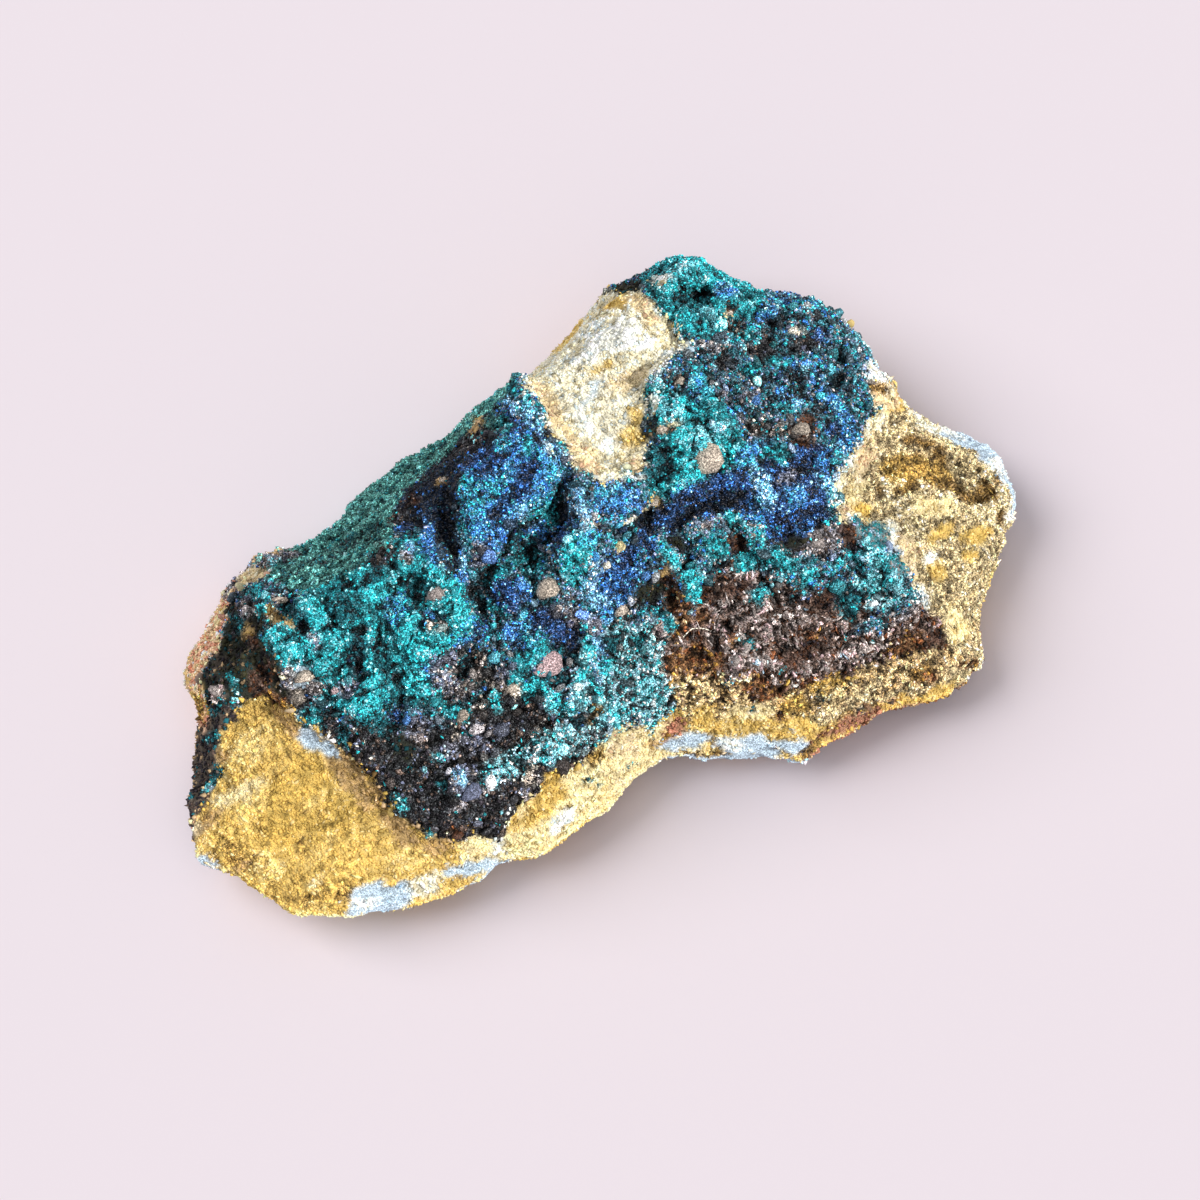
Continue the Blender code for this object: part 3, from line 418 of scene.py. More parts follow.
    ("pale_azurite", (-8.2, 5.6, 0.5, 1.2, -35), (-7.6, 7.2, 0.35, 0.8, -15)),
    ("violet_oxide", (-6.8, 5.0, 0.9, 0.8)),
    ("blue_green", (-4.9, 9.6, 1.2, 1.8, -20)),
    ("bright_malachite", (-6.7, 7.6, 0.3, 1.3), (-5.0, 10.8, 0.5, 0.7)),
    ("blue_green", (-3.3, 9.4, 1.0, 0.9)),
    ("deep_azurite", (-2.2, 11.2, 1.6, 0.8), (-1.4, 7.9, 1.5, 1.0), (0.4, 9.0, 1.1, 1.2),
     (-4.0, 7.2, 1.2, 0.7)),
    ("bright_malachite", (1.1, 10.7, 0.45, 1.2, -20)),
    ("blue_green", (-0.4, 12.2, 0.9, 0.8), (2.2, 8.2, 0.5, 1.2, -30)),
    ("vivid_azurite", (-5.0, 5.6, 1.3, 0.5)),
    ("pale_azurite", (-1.6, 6.1, 1.2, 0.4)),
    ("bright_malachite", (0.0, 6.0, 1.4, 0.35, 5)),
    ("deep_azurite", (-3.0, 12.6, 2.0, 0.6, 5)),
    ("malachite", (0.9, 5.4, 1.3, 0.6, 15)),
    ("vivid_azurite", (-1.4, 4.6, 1.0, 0.35, 5)),
    # The cleft beside it.
    ("black_hollow", (-3.9, 4.7, 1.5, 0.35, 8), (-8.9, 1.4, 0.7, 2.2, -8)),
    ("deep_azurite", (0.8, 3.3, 1.9, 1.0, 35)),
    ("navy_slope", (1.7, 4.4, 0.9, 1.0)),
    ("dark_malachite", (-3.4, 3.2, 2.2, 0.9)),
    ("black_hollow", (-7.9, 3.4, 1.0, 0.7, 30)),
    ("dark_malachite", (-6.8, 3.2, 0.9, 0.9)),
    ("malachite", (-5.8, 2.8, 0.3, 0.9, 10), (-3.6, 3.2, 1.0, 0.35, 5)),
    ("deep_azurite", (-6.4, 0.6, 1.0, 1.7, 5)),
    ("vivid_azurite", (-5.1, 0.1, 0.45, 1.5, -10)),
    ("malachite", (-7.6, 0.4, 0.35, 1.4, 5)),
    ("dark_malachite", (-4.2, 0.9, 0.6, 0.9)),
    ("malachite", (-2.8, 1.5, 1.1, 0.5, 5)),
    ("beige_crust", (-3.1, -0.7, 0.8, 0.9, 20)),
    ("black_hollow", (-4.6, -1.5, 2.2, 0.4, -5)),
    # The ridge and the pale crest.
    ("pale_crest", (3.1, 6.6, 0.5, 2.6, 3), (2.6, 2.6, 0.4, 1.6, -25), (-0.9, -5.4, 0.5, 1.8, -12),
     (-2.0, -8.4, 0.5, 1.3, -20)),
    ("pale_azurite", (3.2, 7.0, 0.5, 1.7), (3.1, 9.8, 0.8, 1.5), (2.7, 13.2, 0.6, 1.4)),
    ("bright_malachite", (0.6, 0.4, 1.9, 1.1, 30), (-0.9, -0.9, 0.6, 1.2),
     (3.1, 15.6, 0.35, 1.6, -10)),
    ("blue_green", (2.2, 1.1, 1.6, 0.7, 28)),
    ("pale_azurite", (0.2, -2.2, 0.9, 0.9, 30)),
    ("pale_crest", (1.3, -1.4, 2.2, 0.26, 33)),
    ("pale_malachite", (0.6, 1.8, 1.6, 0.2, 15)),
    ("beige_crust", (3.2, 2.0, 0.8, 0.3, 30)),
    ("pale_azurite", (2.9, 4.4, 0.7, 1.6, -15)),
    ("white_sand", (3.0, 10.0, 0.2, 0.9, -30)),
    ("deep_azurite", (1.3, 14.2, 0.6, 1.8), (2.4, 11.2, 0.5, 0.6)),
    ("black_hollow", (2.6, 9.4, 0.35, 0.2), (2.3, 11.2, 0.3, 0.3)),
    ("dark_malachite", (2.9, 17.4, 0.6, 0.9)),
    ("malachite", (0.5, 14.6, 0.6, 1.2)),
    ("pale_azurite", (2.0, 16.0, 0.4, 1.2)),
    # The blue lump and the vivid slope south of it.
    ("azurite", (5.6, 3.0, 1.9, 1.4, -18)),
    ("blue_green", (5.2, 3.9, 1.2, 0.5, -10)),
    ("vivid_azurite", (7.2, 2.3, 0.9, 0.6, -30), (3.4, -2.6, 2.8, 1.7, 30)),
    ("deep_azurite", (4.4, -1.6, 1.3, 0.8, 30), (3.4, -3.6, 0.8, 0.6)),
    ("pale_azurite", (0.9, -3.6, 0.9, 1.0, 30)),
    ("azurite", (0.6, -4.8, 1.0, 0.8, 20)),
    ("black_hollow", (5.4, 0.5, 1.4, 0.4, 10)),
    ("green_black", (8.4, -0.8, 0.7, 0.7)),
    ("deep_azurite", (7.0, -1.0, 0.9, 1.2)),
    ("navy_slope", (7.6, 0.8, 1.2, 0.7, 30)),
    # Middle ground south of the cleft.
    ("malachite", (2.4, -8.2, 0.7, 0.5), (5.4, -8.2, 0.7, 0.7, 30), (4.8, -6.6, 0.6, 0.6)),
    ("bright_malachite", (-6.8, -9.1, 0.6, 1.2, 15), (-1.3, -8.6, 0.6, 0.7)),
    ("pale_malachite", (-7.4, -9.8, 0.4, 0.6), (-5.4, -10.4, 1.3, 0.6, 15), (1.2, -12.3, 1.2, 0.6),
     (0.2, -14.6, 0.6, 0.7)),
    ("bright_malachite", (-3.8, -8.7, 1.1, 0.5, 10), (-2.9, -10.6, 0.4, 1.4)),
    ("rust_brown", (6.7, -7.4, 0.9, 1.8), (5.6, -9.1, 1.3, 0.4, 5)),
    ("vivid_azurite", (-7.4, -2.2, 1.1, 0.7, -10)),
    ("azurite", (-6.7, -3.1, 1.2, 1.0)),
    ("blue_green", (-5.7, -2.8, 1.0, 1.2)),
    ("deep_azurite", (-4.2, -2.9, 1.4, 1.0)),
    ("violet_oxide", (-2.7, -2.6, 1.0, 0.5, -20)),
    ("deep_azurite", (-3.4, -4.8, 1.4, 1.4)),
    ("dark_malachite", (-4.4, -5.6, 0.8, 0.6)),
    ("black_hollow", (-3.4, -6.2, 0.9, 0.5), (-5.3, -8.6, 0.8, 0.5)),
    ("grey_oxide", (-1.9, -3.9, 0.7, 0.7)),
    ("malachite", (-8.0, -4.6, 1.6, 0.7, 15)),
    ("bright_malachite", (-6.2, -4.6, 1.3, 0.5, 10), (-1.8, -6.5, 0.4, 1.0)),
    ("rubble", (-12.6, -3.4, 2.6, 1.4), (-11.0, -4.8, 1.4, 0.9)),
    ("black_hollow", (-13.0, -2.9, 1.3, 0.5)),
    ("violet_oxide", (-9.6, -4.9, 0.7, 0.7), (-15.0, -3.2, 1.2, 0.9)),
    ("grey_oxide", (-14.6, -4.4, 1.4, 0.5)),
    ("bright_malachite", (-8.0, -7.0, 1.6, 0.9, 10), (-14.9, -6.2, 1.0, 0.7)),
    ("malachite", (-8.8, -5.7, 1.3, 0.7, 10), (-16.0, -5.0, 1.3, 0.7, 10)),
    ("beige_crust", (-9.9, -6.7, 0.7, 0.5), (-10.8, -5.6, 0.3, 0.5), (-16.0, -7.7, 0.7, 0.3, 10)),
    ("bright_malachite", (-11.6, -6.6, 0.35, 1.2, -15)),
    ("rubble", (-12.8, -6.4, 0.8, 0.8)),
    ("grey_oxide", (-16.6, -5.5, 0.5, 0.5)),
    ("pale_azurite", (-1.0, -6.6, 0.5, 1.6, 5)),
    ("violet_oxide", (-0.9, -5.2, 0.7, 0.7)),
    ("dark_malachite", (0.0, -7.4, 0.8, 1.0), (-5.6, -7.8, 1.0, 0.4, 10)),
    ("brown_sand", (-4.0, -11.7, 1.2, 0.4)),
    ("black_hollow", (-6.0, -11.8, 1.6, 0.4, 5)),
    ("pale_malachite", (-2.6, -12.6, 1.2, 0.7)),
    ("olive_stain", (4.8, -4.9, 1.8, 0.8, 10)),
    ("dark_brown", (7.0, -4.6, 0.8, 1.2)),
    ("tawny_sand", (6.9, -4.0, 0.9, 0.35, 20)),
    ("beige_crust", (2.0, -5.3, 0.6, 0.4, 20)),
    ("green_black", (3.2, -6.6, 1.2, 0.7)),
    ("mauve_flakes", (4.0, -8.4, 0.6, 0.6)),
    # The dark south-west of the crust.
    ("violet_oxide", (-17.4, -8.4, 1.3, 0.9, 20), (-17.4, -11.0, 1.4, 1.3, 20),
     (-14.0, -9.0, 1.7, 1.2)),
    ("malachite", (-23.5, -10.2, 0.6, 0.4, -20), (-19.3, -10.7, 0.4, 0.35),
     (-22.2, -14.1, 0.5, 0.4), (-14.9, -8.4, 0.5, 0.2)),
    ("dark_malachite", (-26.6, -0.4, 1.0, 1.2, 20), (-24.9, -3.0, 0.7, 0.9)),
    ("pale_malachite", (-18.5, -8.8, 0.3, 0.6), (-23.0, -10.9, 0.5, 0.4)),
    ("malachite", (-26.4, -0.2, 0.7, 0.4, 20)),
    ("olive_stain", (-20.9, -6.4, 0.9, 1.5)),
    ("dark_malachite", (-22.0, -4.9, 0.4, 0.6)),
    ("violet_oxide", (-18.7, -5.4, 1.3, 1.0)),
    ("grey_oxide", (-19.2, -6.4, 0.9, 0.6)),
    ("pale_azurite", (-17.5, -11.0, 0.5, 0.8, 10)),
    ("grey_oxide", (-17.4, -13.2, 2.2, 0.7, 8)),
    ("black_oxide", (-9.2, -8.9, 1.3, 1.0)),
    ("rubble", (-9.2, -10.6, 1.3, 0.7)),
    ("salt_pepper", (-13.4, -12.0, 2.8, 1.2, 5), (-9.6, -12.2, 2.4, 1.2),
     (-7.2, -13.0, 2.0, 0.6, 5)),
    ("pale_malachite", (-9.8, -13.5, 0.9, 0.5, 10)),
    ("malachite", (-21.1, -8.3, 0.3, 0.25)),
    ("beige_crust", (-11.7, -13.6, 0.6, 0.7)),
    ("grey_oxide", (-13.0, -15.0, 0.9, 0.4, 20)),
    ("rust_brown", (-19.4, -14.9, 1.3, 0.25, -12)),
    # The bare window of pale sandstone.
    ("white_sand", (12.6, 17.2, 2.4, 1.4, 10), (10.0, 17.0, 1.2, 0.8), (7.3, 11.4, 0.5, 1.8),
     (7.8, 8.3, 0.9, 0.6), (16.8, 13.3, 1.0, 0.5), (11.8, 19.2, 1.6, 0.6, 10),
     (15.0, 15.0, 0.9, 0.4, 10), (13.4, 16.2, 1.0, 0.6)),
    ("peach_sand", (16.9, 17.2, 0.9, 0.8), (5.6, 7.4, 0.8, 2.2, -10), (4.9, 14.0, 0.8, 3.4),
     (4.9, 8.8, 0.5, 2.2, -5)),
    ("pale_gold", (10.8, 15.0, 0.8, 0.4), (11.4, 9.6, 0.6, 1.4, -10), (10.4, 8.2, 1.4, 1.2)),
    ("pale_clay", (9.0, 13.4, 1.6, 0.35, 15)),
    ("peach_sand", (12.4, 13.0, 2.0, 0.7), (9.6, 5.4, 0.7, 0.7)),
    ("golden_sand", (15.6, 20.8, 1.8, 0.9, -20)),
    ("peach_sand", (16.9, 19.2, 1.0, 1.6)),
    ("olive_stain", (17.4, 22.4, 1.5, 1.5), (11.7, 7.6, 0.9, 0.9)),
    ("pale_malachite", (8.5, 5.3, 0.5, 0.7)),
    ("white_sand", (8.3, 4.2, 0.7, 0.5, -30)),
    ("pale_gold", (11.0, 21.8, 2.6, 0.8, 15)),
    ("tawny_sand", (12.6, 6.9, 0.35, 0.35)),
    ("dark_malachite", (11.4, 5.6, 1.3, 0.8), (10.6, 3.6, 1.8, 1.2, 10)),
    ("malachite", (10.4, 2.2, 1.4, 0.5)),
    ("tawny_sand", (9.4, 1.6, 0.5, 0.5)),
    # The northern knob.
    ("bright_malachite", (20.6, 18.8, 1.4, 0.4, -10), (19.1, 15.6, 0.5, 1.8)),
    ("grey_oxide", (19.6, 12.5, 0.9, 0.4, -25), (20.7, 11.7, 0.7, 0.4, -45)),
    ("pale_malachite", (22.6, 20.9, 2.1, 1.1)),
    ("bright_malachite", (24.4, 20.4, 0.9, 1.0), (25.0, 18.2, 0.9, 1.4, 30),
     (25.4, 21.8, 1.8, 0.9, -40), (22.4, 23.6, 2.0, 0.7, -10)),
    ("white_sand", (20.0, 20.7, 0.7, 0.9, 20), (18.2, 12.9, 0.4, 0.5)),
    ("peach_sand", (19.8, 19.9, 0.5, 0.4)),
    ("dark_malachite", (21.4, 17.4, 2.1, 1.5, 10), (20.7, 15.6, 0.6, 1.2, -20)),
    ("azurite", (24.2, 16.8, 0.8, 0.8), (28.4, 19.2, 0.6, 1.2, 30)),
    ("vivid_azurite", (25.0, 16.2, 0.7, 0.5)),
    ("dark_brown", (24.2, 15.0, 0.9, 0.35, 10)),
    ("peach_sand", (23.8, 14.8, 0.4, 0.25)),
    ("pale_malachite", (21.6, 14.6, 0.8, 1.2, 20)),
    ("rubble", (23.3, 12.9, 1.0, 1.0)),
    ("malachite", (26.2, 14.8, 0.9, 1.6)),
    # The rough north-eastern crust.
    ("azurite", (27.2, 13.4, 0.8, 0.6), (29.8, 14.0, 1.2, 0.6, -20), (19.6, 5.4, 0.7, 0.5),
     (24.4, 6.2, 0.3, 0.8)),
    ("black_hollow", (28.0, 12.4, 0.9, 0.6), (29.8, 5.0, 0.8, 0.8), (26.6, 5.6, 0.5, 0.7),
     (31.4, 7.0, 1.2, 0.7)),
    ("black_oxide", (24.8, 10.2, 1.6, 1.0), (20.8, 10.4, 0.9, 0.8)),
    ("malachite", (22.2, 8.9, 0.9, 0.6), (24.0, 12.0, 1.4, 0.5, -10), (23.8, 4.4, 0.4, 1.0),
     (21.0, 0.8, 1.6, 0.6, -20)),
    ("bright_malachite", (12.9, 3.6, 0.5, 1.3), (12.2, 1.7, 1.8, 0.4, 5), (20.8, -0.1, 0.7, 0.5)),
    ("azurite", (28.4, 2.7, 0.6, 1.3), (28.6, 1.6, 0.7, 2.0, -10)),
    ("violet_oxide", (18.8, 7.6, 0.5, 1.4), (21.2, 6.4, 0.8, 0.5)),
    ("blue_green", (31.8, 12.6, 1.2, 0.7, -35), (17.6, 9.6, 0.7, 1.4)),
    ("rubble", (20.4, 4.0, 1.1, 1.0), (22.4, 2.6, 1.2, 0.9)),
    ("navy_slope", (14.4, -0.9, 2.8, 0.9, -8), (11.0, -0.6, 1.4, 1.0)),
    ("deep_azurite", (30.8, 15.6, 1.4, 0.7, -35)),
    ("blue_green", (33.2, 13.6, 0.9, 0.9)),
    ("beige_crust", (28.5, 10.6, 0.5, 0.35)),
    ("black_oxide", (28.6, 9.2, 1.6, 0.8)),
    ("azurite", (27.0, 7.6, 0.3, 1.0), (28.6, 6.4, 0.25, 1.3), (17.2, -3.2, 0.8, 1.8, -10)),
    ("deep_azurite", (31.0, 9.6, 0.9, 0.6, 10)),
    ("malachite", (25.6, 8.6, 1.4, 0.4, -30)),
    ("pale_azurite", (25.0, 4.2, 0.9, 0.5, 20)),
    ("dark_brown", (24.3, 1.6, 1.5, 1.4)),
    ("beige_crust", (24.0, 1.5, 0.7, 0.6)),
    ("dark_brown", (23.8, 0.9, 0.4, 0.4)),
    ("pale_malachite", (14.4, 8.8, 1.2, 2.2)),
    ("bright_malachite", (15.2, 8.0, 0.9, 0.6), (13.6, 5.2, 0.9, 0.7)),
    ("white_sand", (13.1, 9.6, 0.25, 1.0, -5)),
    ("deep_azurite", (16.7, 8.6, 0.35, 0.9)),
    ("rubble", (15.9, 10.4, 0.8, 0.7)),
    ("pale_malachite", (16.2, 4.6, 1.8, 1.0, -15)),
    ("peach_sand", (13.6, 6.5, 0.8, 0.25, 12)),
    ("bright_malachite", (17.1, 3.0, 0.7, 1.4)),
    ("blue_green", (18.2, 1.6, 1.0, 1.0)),
    ("azurite", (19.8, 1.9, 1.2, 0.7), (25.4, -1.2, 1.6, 0.6, 25)),
    ("deep_azurite", (27.0, 0.6, 1.0, 1.0)),
    ("vivid_azurite", (28.0, 4.2, 0.5, 1.2)),
    ("violet_oxide", (13.0, -2.4, 0.9, 0.4, 10)),
    ("pale_azurite", (18.3, -1.6, 0.8, 1.9, -5)),
    ("azurite", (17.4, -5.2, 0.9, 0.6), (20.4, -3.4, 1.0, 1.2)),
    ("deep_azurite", (19.0, -3.8, 0.7, 1.0)),
    ("violet_oxide", (20.8, -1.6, 1.2, 0.6)),
    ("vivid_azurite", (20.4, -5.8, 1.2, 0.5)),
    ("deep_azurite", (22.8, -2.8, 1.0, 1.7, 10)),
    ("navy_slope", (22.6, -1.6, 0.7, 0.6)),
    ("pale_azurite", (24.0, -3.2, 0.5, 1.5, 10)),
    ("azurite", (25.6, -0.8, 1.0, 0.6, 20)),
    ("pale_malachite", (24.2, -5.2, 0.7, 0.9, -30)),
    ("pale_azurite", (27.2, -0.6, 1.0, 0.5, 25)),
    # The pale eastern rim of the crust.
    ("cream_sand", (25.6, -3.8, 1.2, 0.35, 42)),
    ("white_sand", (34.4, 4.7, 1.8, 0.9, 40), (24.4, -5.8, 0.4, 0.7, -30)),
    ("pale_crest", (25.5, -3.2, 1.1, 0.35, 42)),
    ("azurite", (27.9, -0.8, 1.2, 0.6, 30)),
    ("cream_sand", (28.2, -2.1, 1.8, 0.35, 30), (31.2, 0.0, 2.0, 0.35, 15)),
    ("peach_sand", (33.8, 2.2, 2.0, 1.1, 20)),
    ("brown_sand", (33.4, 2.8, 1.0, 0.7)),
    ("pale_clay", (35.8, 6.6, 0.7, 1.7, -10)),
    ("white_sand", (36.6, 1.5, 0.8, 2.6, 5)),
    ("pale_malachite", (35.2, 8.2, 0.6, 0.9, -20)),
    # Malachite ridges towards the brown south.
    ("bright_malachite", (8.0, -2.8, 0.45, 1.6, 12), (8.9, -5.6, 1.0, 0.7, 30),
     (8.3, -7.0, 0.7, 0.7), (20.7, -10.5, 0.8, 0.4), (22.8, -10.5, 0.8, 0.8)),
    ("black_hollow", (8.8, -4.5, 0.6, 0.5)),
    ("olive_stain", (9.2, -2.2, 0.8, 0.8)),
    ("malachite", (11.5, -3.5, 0.9, 1.4, 15), (12.2, -4.8, 0.9, 0.6)),
    ("grey_oxide", (12.2, -2.4, 0.9, 0.4, 30)),
    ("dark_brown", (14.0, -4.9, 0.9, 1.0)),
    ("malachite", (14.0, -6.6, 1.3, 1.1, 10)),
    ("bright_malachite", (15.6, -5.2, 0.25, 2.0, 8), (14.6, -2.6, 0.9, 0.4, -15)),
    ("malachite", (16.9, -8.2, 0.9, 1.6, 35)),
    ("bright_malachite", (18.4, -10.4, 0.9, 0.7)),
    ("dark_brown", (18.8, -12.4, 2.0, 0.7, -5)),
    ("pale_malachite", (23.2, -13.2, 1.2, 1.4, 10)),
    ("bright_malachite", (25.2, -14.4, 1.2, 1.4)),
    ("pale_malachite", (24.7, -11.6, 1.2, 1.8), (25.6, -13.8, 0.9, 1.8)),
    ("salt_pepper", (23.6, -14.8, 1.9, 0.9), (14.2, -9.2, 1.6, 0.5, -10)),
    ("malachite", (25.8, -12.4, 1.4, 0.5, 20)),
    ("slate_teal", (25.8, -9.0, 1.5, 1.6, 10), (26.6, -13.0, 0.8, 0.7)),
    ("grey_oxide", (20.4, -8.0, 2.6, 1.2), (25.8, -16.8, 1.6, 0.6, -10)),
    ("dark_malachite", (20.6, -13.6, 1.2, 1.2)),
    ("black_hollow", (21.7, -13.2, 0.5, 0.9), (16.2, -11.2, 0.8, 0.5)),
    ("dark_brown", (23.6, -8.4, 0.7, 1.6, -15)),
    ("olive_stain", (18.4, -6.9, 0.9, 0.7)),
    # The brown, flaky south.
    ("mauve_flakes", (9.8, -12.8, 1.5, 1.0, 20), (12.2, -10.6, 2.0, 1.2), (14.4, -12.6, 2.4, 1.4)),
    ("rust_brown", (5.4, -11.8, 2.2, 1.3, -5), (7.2, -13.2, 1.6, 0.9), (10.0, -12.2, 0.8, 0.3, 40),
     (14.4, -18.2, 1.6, 0.5, -15)),
    ("dark_brown", (10.6, -7.4, 1.6, 1.0), (12.6, -8.2, 1.2, 0.7)),
    ("orange_flakes", (4.4, -13.4, 1.4, 0.8, -20), (7.0, -14.9, 2.2, 0.9, -15)),
    ("mauve_flakes", (9.4, -14.4, 1.6, 0.8), (11.4, -15.0, 1.4, 0.7)),
    ("pale_malachite", (7.7, -14.8, 0.4, 0.3), (12.9, -16.1, 0.3, 0.3)),
    ("rust_brown", (8.4, -9.0, 0.7, 0.8), (10.6, -16.8, 2.2, 0.8, -20)),
    ("malachite", (10.9, -13.0, 0.4, 0.5), (14.0, -9.6, 1.2, 0.6, 20)),
    ("umber_flakes", (17.6, -15.0, 2.2, 1.0, -8)),
    ("dark_brown", (15.0, -15.8, 2.2, 0.6, 5)),
    ("rust_brown", (16.6, -14.8, 1.0, 0.5)),
    ("mauve_flakes", (20.4, -17.6, 3.2, 0.8, -12)),
    ("umber_flakes", (26.0, -17.6, 1.8, 0.8)),
    ("green_black", (21.2, -16.2, 1.6, 0.5, -10), (24.6, -15.8, 1.6, 0.5)),
    ("rust_brown", (24.6, -18.8, 2.4, 0.9, -10)),
    ("orange_flakes", (21.4, -19.6, 2.4, 0.8, -10)),
    ("dark_brown", (27.3, -19.6, 0.9, 1.0)),
    ("golden_sand", (4.6, -16.0, 1.6, 0.8, -10)),
    ("orange_sand", (16.2, -18.8, 1.8, 0.7, -10)),
    ("tan_sand", (15.4, -21.2, 2.4, 0.5, -6), (19.0, -20.8, 2.2, 0.6, -5)),
    ("pale_sand", (8.8, -17.6, 2.6, 0.6, -22)),
    ("orange_sand", (12.8, -19.0, 1.6, 0.8, -10)),
    ("black_hollow", (9.2, -17.5, 0.35, 0.25), (15.1, -19.4, 0.4, 0.45)),
    ("rust_brown", (11.2, -19.4, 0.5, 0.4)),
    ("brown_sand", (24.6, -21.6, 1.6, 0.5, -10)),
    ("black_oxide", (18.0, -21.6, 0.7, 0.3, 10)),
    ("rust_brown", (25.2, -22.2, 1.0, 0.4)),
    ("tan_sand", (22.6, -22.4, 2.2, 0.4, -15), (27.4, -22.6, 1.4, 0.6)),
    ("rust_brown", (29.4, -22.6, 1.2, 0.3, -5)),
    # Bare sandstone in the south-east.
    ("golden_sand", (32.2, -11.0, 1.5, 0.6, 10), (35.6, -12.6, 1.8, 0.9, -10),
     (30.2, -14.4, 0.8, 1.0), (34.2, -14.0, 0.9, 0.5)),
    ("white_sand", (30.2, -12.9, 0.7, 0.6), (-29.8, -16.6, 1.0, 0.35, -15),
     (6.6, -19.2, 0.9, 0.3, -30)),
    ("orange_sand", (32.8, -4.6, 3.0, 1.5, -25), (35.2, -6.2, 1.6, 1.2, -45)),
    ("brown_sand", (36.4, -8.0, 2.2, 1.0, -40), (38.6, -9.2, 1.3, 1.0), (31.6, -6.0, 1.4, 0.5, -5),
     (38.9, -11.6, 0.6, 0.6), (34.6, -2.4, 1.4, 0.5, -20), (35.8, -4.4, 1.0, 0.8),
     (28.8, -5.2, 0.5, 0.5)),
    ("pale_sand", (32.8, -8.6, 2.4, 0.8, -10), (29.8, -19.0, 0.9, 1.6, 10)),
    ("yellow_sand", (26.4, -6.4, 1.2, 0.8, -15)),
    ("white_sand", (28.1, -9.6, 0.5, 1.6, 8)),
    ("peach_sand", (27.8, -12.6, 0.7, 1.8, -8), (24.6, -6.2, 0.8, 1.0, -30)),
    ("pale_clay", (27.4, -11.2, 0.8, 0.7, -30), (41.9, -7.6, 1.2, 2.6, -6)),
    ("white_sand", (27.7, -15.8, 0.5, 1.4, 5)),
    ("peach_sand", (28.9, -11.2, 0.8, 1.6)),
    ("cream_sand", (37.2, -1.6, 2.4, 0.9, -55)),
    ("pale_clay", (39.8, -3.8, 2.8, 1.3, -55)),
    ("brown_sand", (40.4, -8.8, 0.4, 1.2, -20)),
    ("pale_clay", (41.5, -9.8, 0.9, 2.4, -4), (40.6, -6.2, 0.9, 2.2, 12)),
    ("white_sand", (41.0, -11.8, 1.3, 0.7), (38.9, -2.6, 1.2, 0.35, -50)),
    ("tawny_sand", (31.8, -22.0, 1.4, 0.5, 40)),
    ("pale_sand", (26.6, -4.6, 1.6, 0.7, 30)),
    ("peach_sand", (29.0, -2.4, 2.2, 0.6, 35)),
    ("pale_clay", (40.9, -10.4, 0.6, 1.8, -10)),
    ("white_sand", (41.0, -7.4, 0.35, 1.2)),
    ("violet_oxide", (9.4, -20.9, 0.7, 0.15, -30)),
]

# What the sides and the underside are made of, by the nearest of these places: x, y and z.
SIDE_SPOTS = [
    ("moss_green", -22, 18, 5), ("moss_green", -14, 19, 4), ("moss_green", -6, 20, 5),
    ("dark_moss", -10, 18, 2), ("dark_moss", 0, 20, 4), ("moss_green", 3, 20, 9),
    ("golden_sand", 8, 21, 8), ("cream_sand", 12, 22, 12), ("tawny_sand", 14, 22, 6),
    ("olive_stain", 18, 24, 9), ("malachite", 22, 24, 13), ("dark_malachite", 24, 23, 6),
    ("malachite", 28, 18, 11), ("black_oxide", 28, 18, 5), ("deep_azurite", 31, 14, 11),
    ("tawny_sand", 31, 13, 5), ("green_black", 34, 9, 11), ("tan_sand", 34, 9, 5),
    ("pale_clay", 36, 3, 10), ("tan_sand", 37, 1, 5), ("pale_clay", 40, -3, 6),
    ("tan_sand", 40, -3, 2), ("pale_clay", 42.5, -8, 6), ("tawny_sand", 42, -9, 2),
    ("pale_clay", 41.5, -10.5, 5), ("white_sand", 41, -12.4, 6), ("tan_sand", 38, -13, 3),
    ("pale_sand", 35, -16, 6),
    ("golden_sand", 33, -19, 3), ("tan_sand", 30, -22, 6), ("rust_brown", 26, -23, 3),
    ("russet_fibres", 18, -22, 5), ("tawny_sand", 12, -22.5, 1), ("pale_clay", 9, -21, 4.5),
    ("tawny_sand", 5, -19, 1.5), ("pale_clay", 3, -18, 5), ("pale_sand", -4, -18, 5),
    ("golden_sand", -12, -19, 5), ("tawny_sand", -8, -18, 1.5), ("pale_clay", -20, -18.5, 5.5),
    ("pale_clay", -28, -17, 5.5), ("golden_sand", -24, -18, 3), ("pale_sand", -34, -15, 4),
    ("golden_sand", -37, -10, 5), ("tawny_sand", -36, -11, 1.5), ("pale_clay", -41, -5.5, 5.5),
    ("black_rim", -41, -2, 5), ("dark_brown", -39, 1, 2), ("black_rim", -37, 4, 5),
    ("pink_fibres", -35, 6, 5), ("pink_fibres", -33, 11, 5), ("tawny_sand", -33, 10, 1.5),
    ("pink_fibres", -30, 14, 5), ("grey_oxide", -27, 16, 5), ("golden_sand", -30, 0, 0),
    ("tawny_sand", -20, -8, 0), ("golden_sand", -12, 2, 0), ("tawny_sand", -18, 9, 0),
    ("pale_sand", -2, -10, 0), ("golden_sand", 2, 6, 0), ("tawny_sand", 10, -6, 0),
    ("golden_sand", 16, 10, 0), ("tan_sand", 24, -2, 0), ("golden_sand", 26, -14, 0),
    ("orange_sand", 6, -14, 0), ("pale_sand", 32, 2, 0), ("tawny_sand", -8, 14, 0),
]

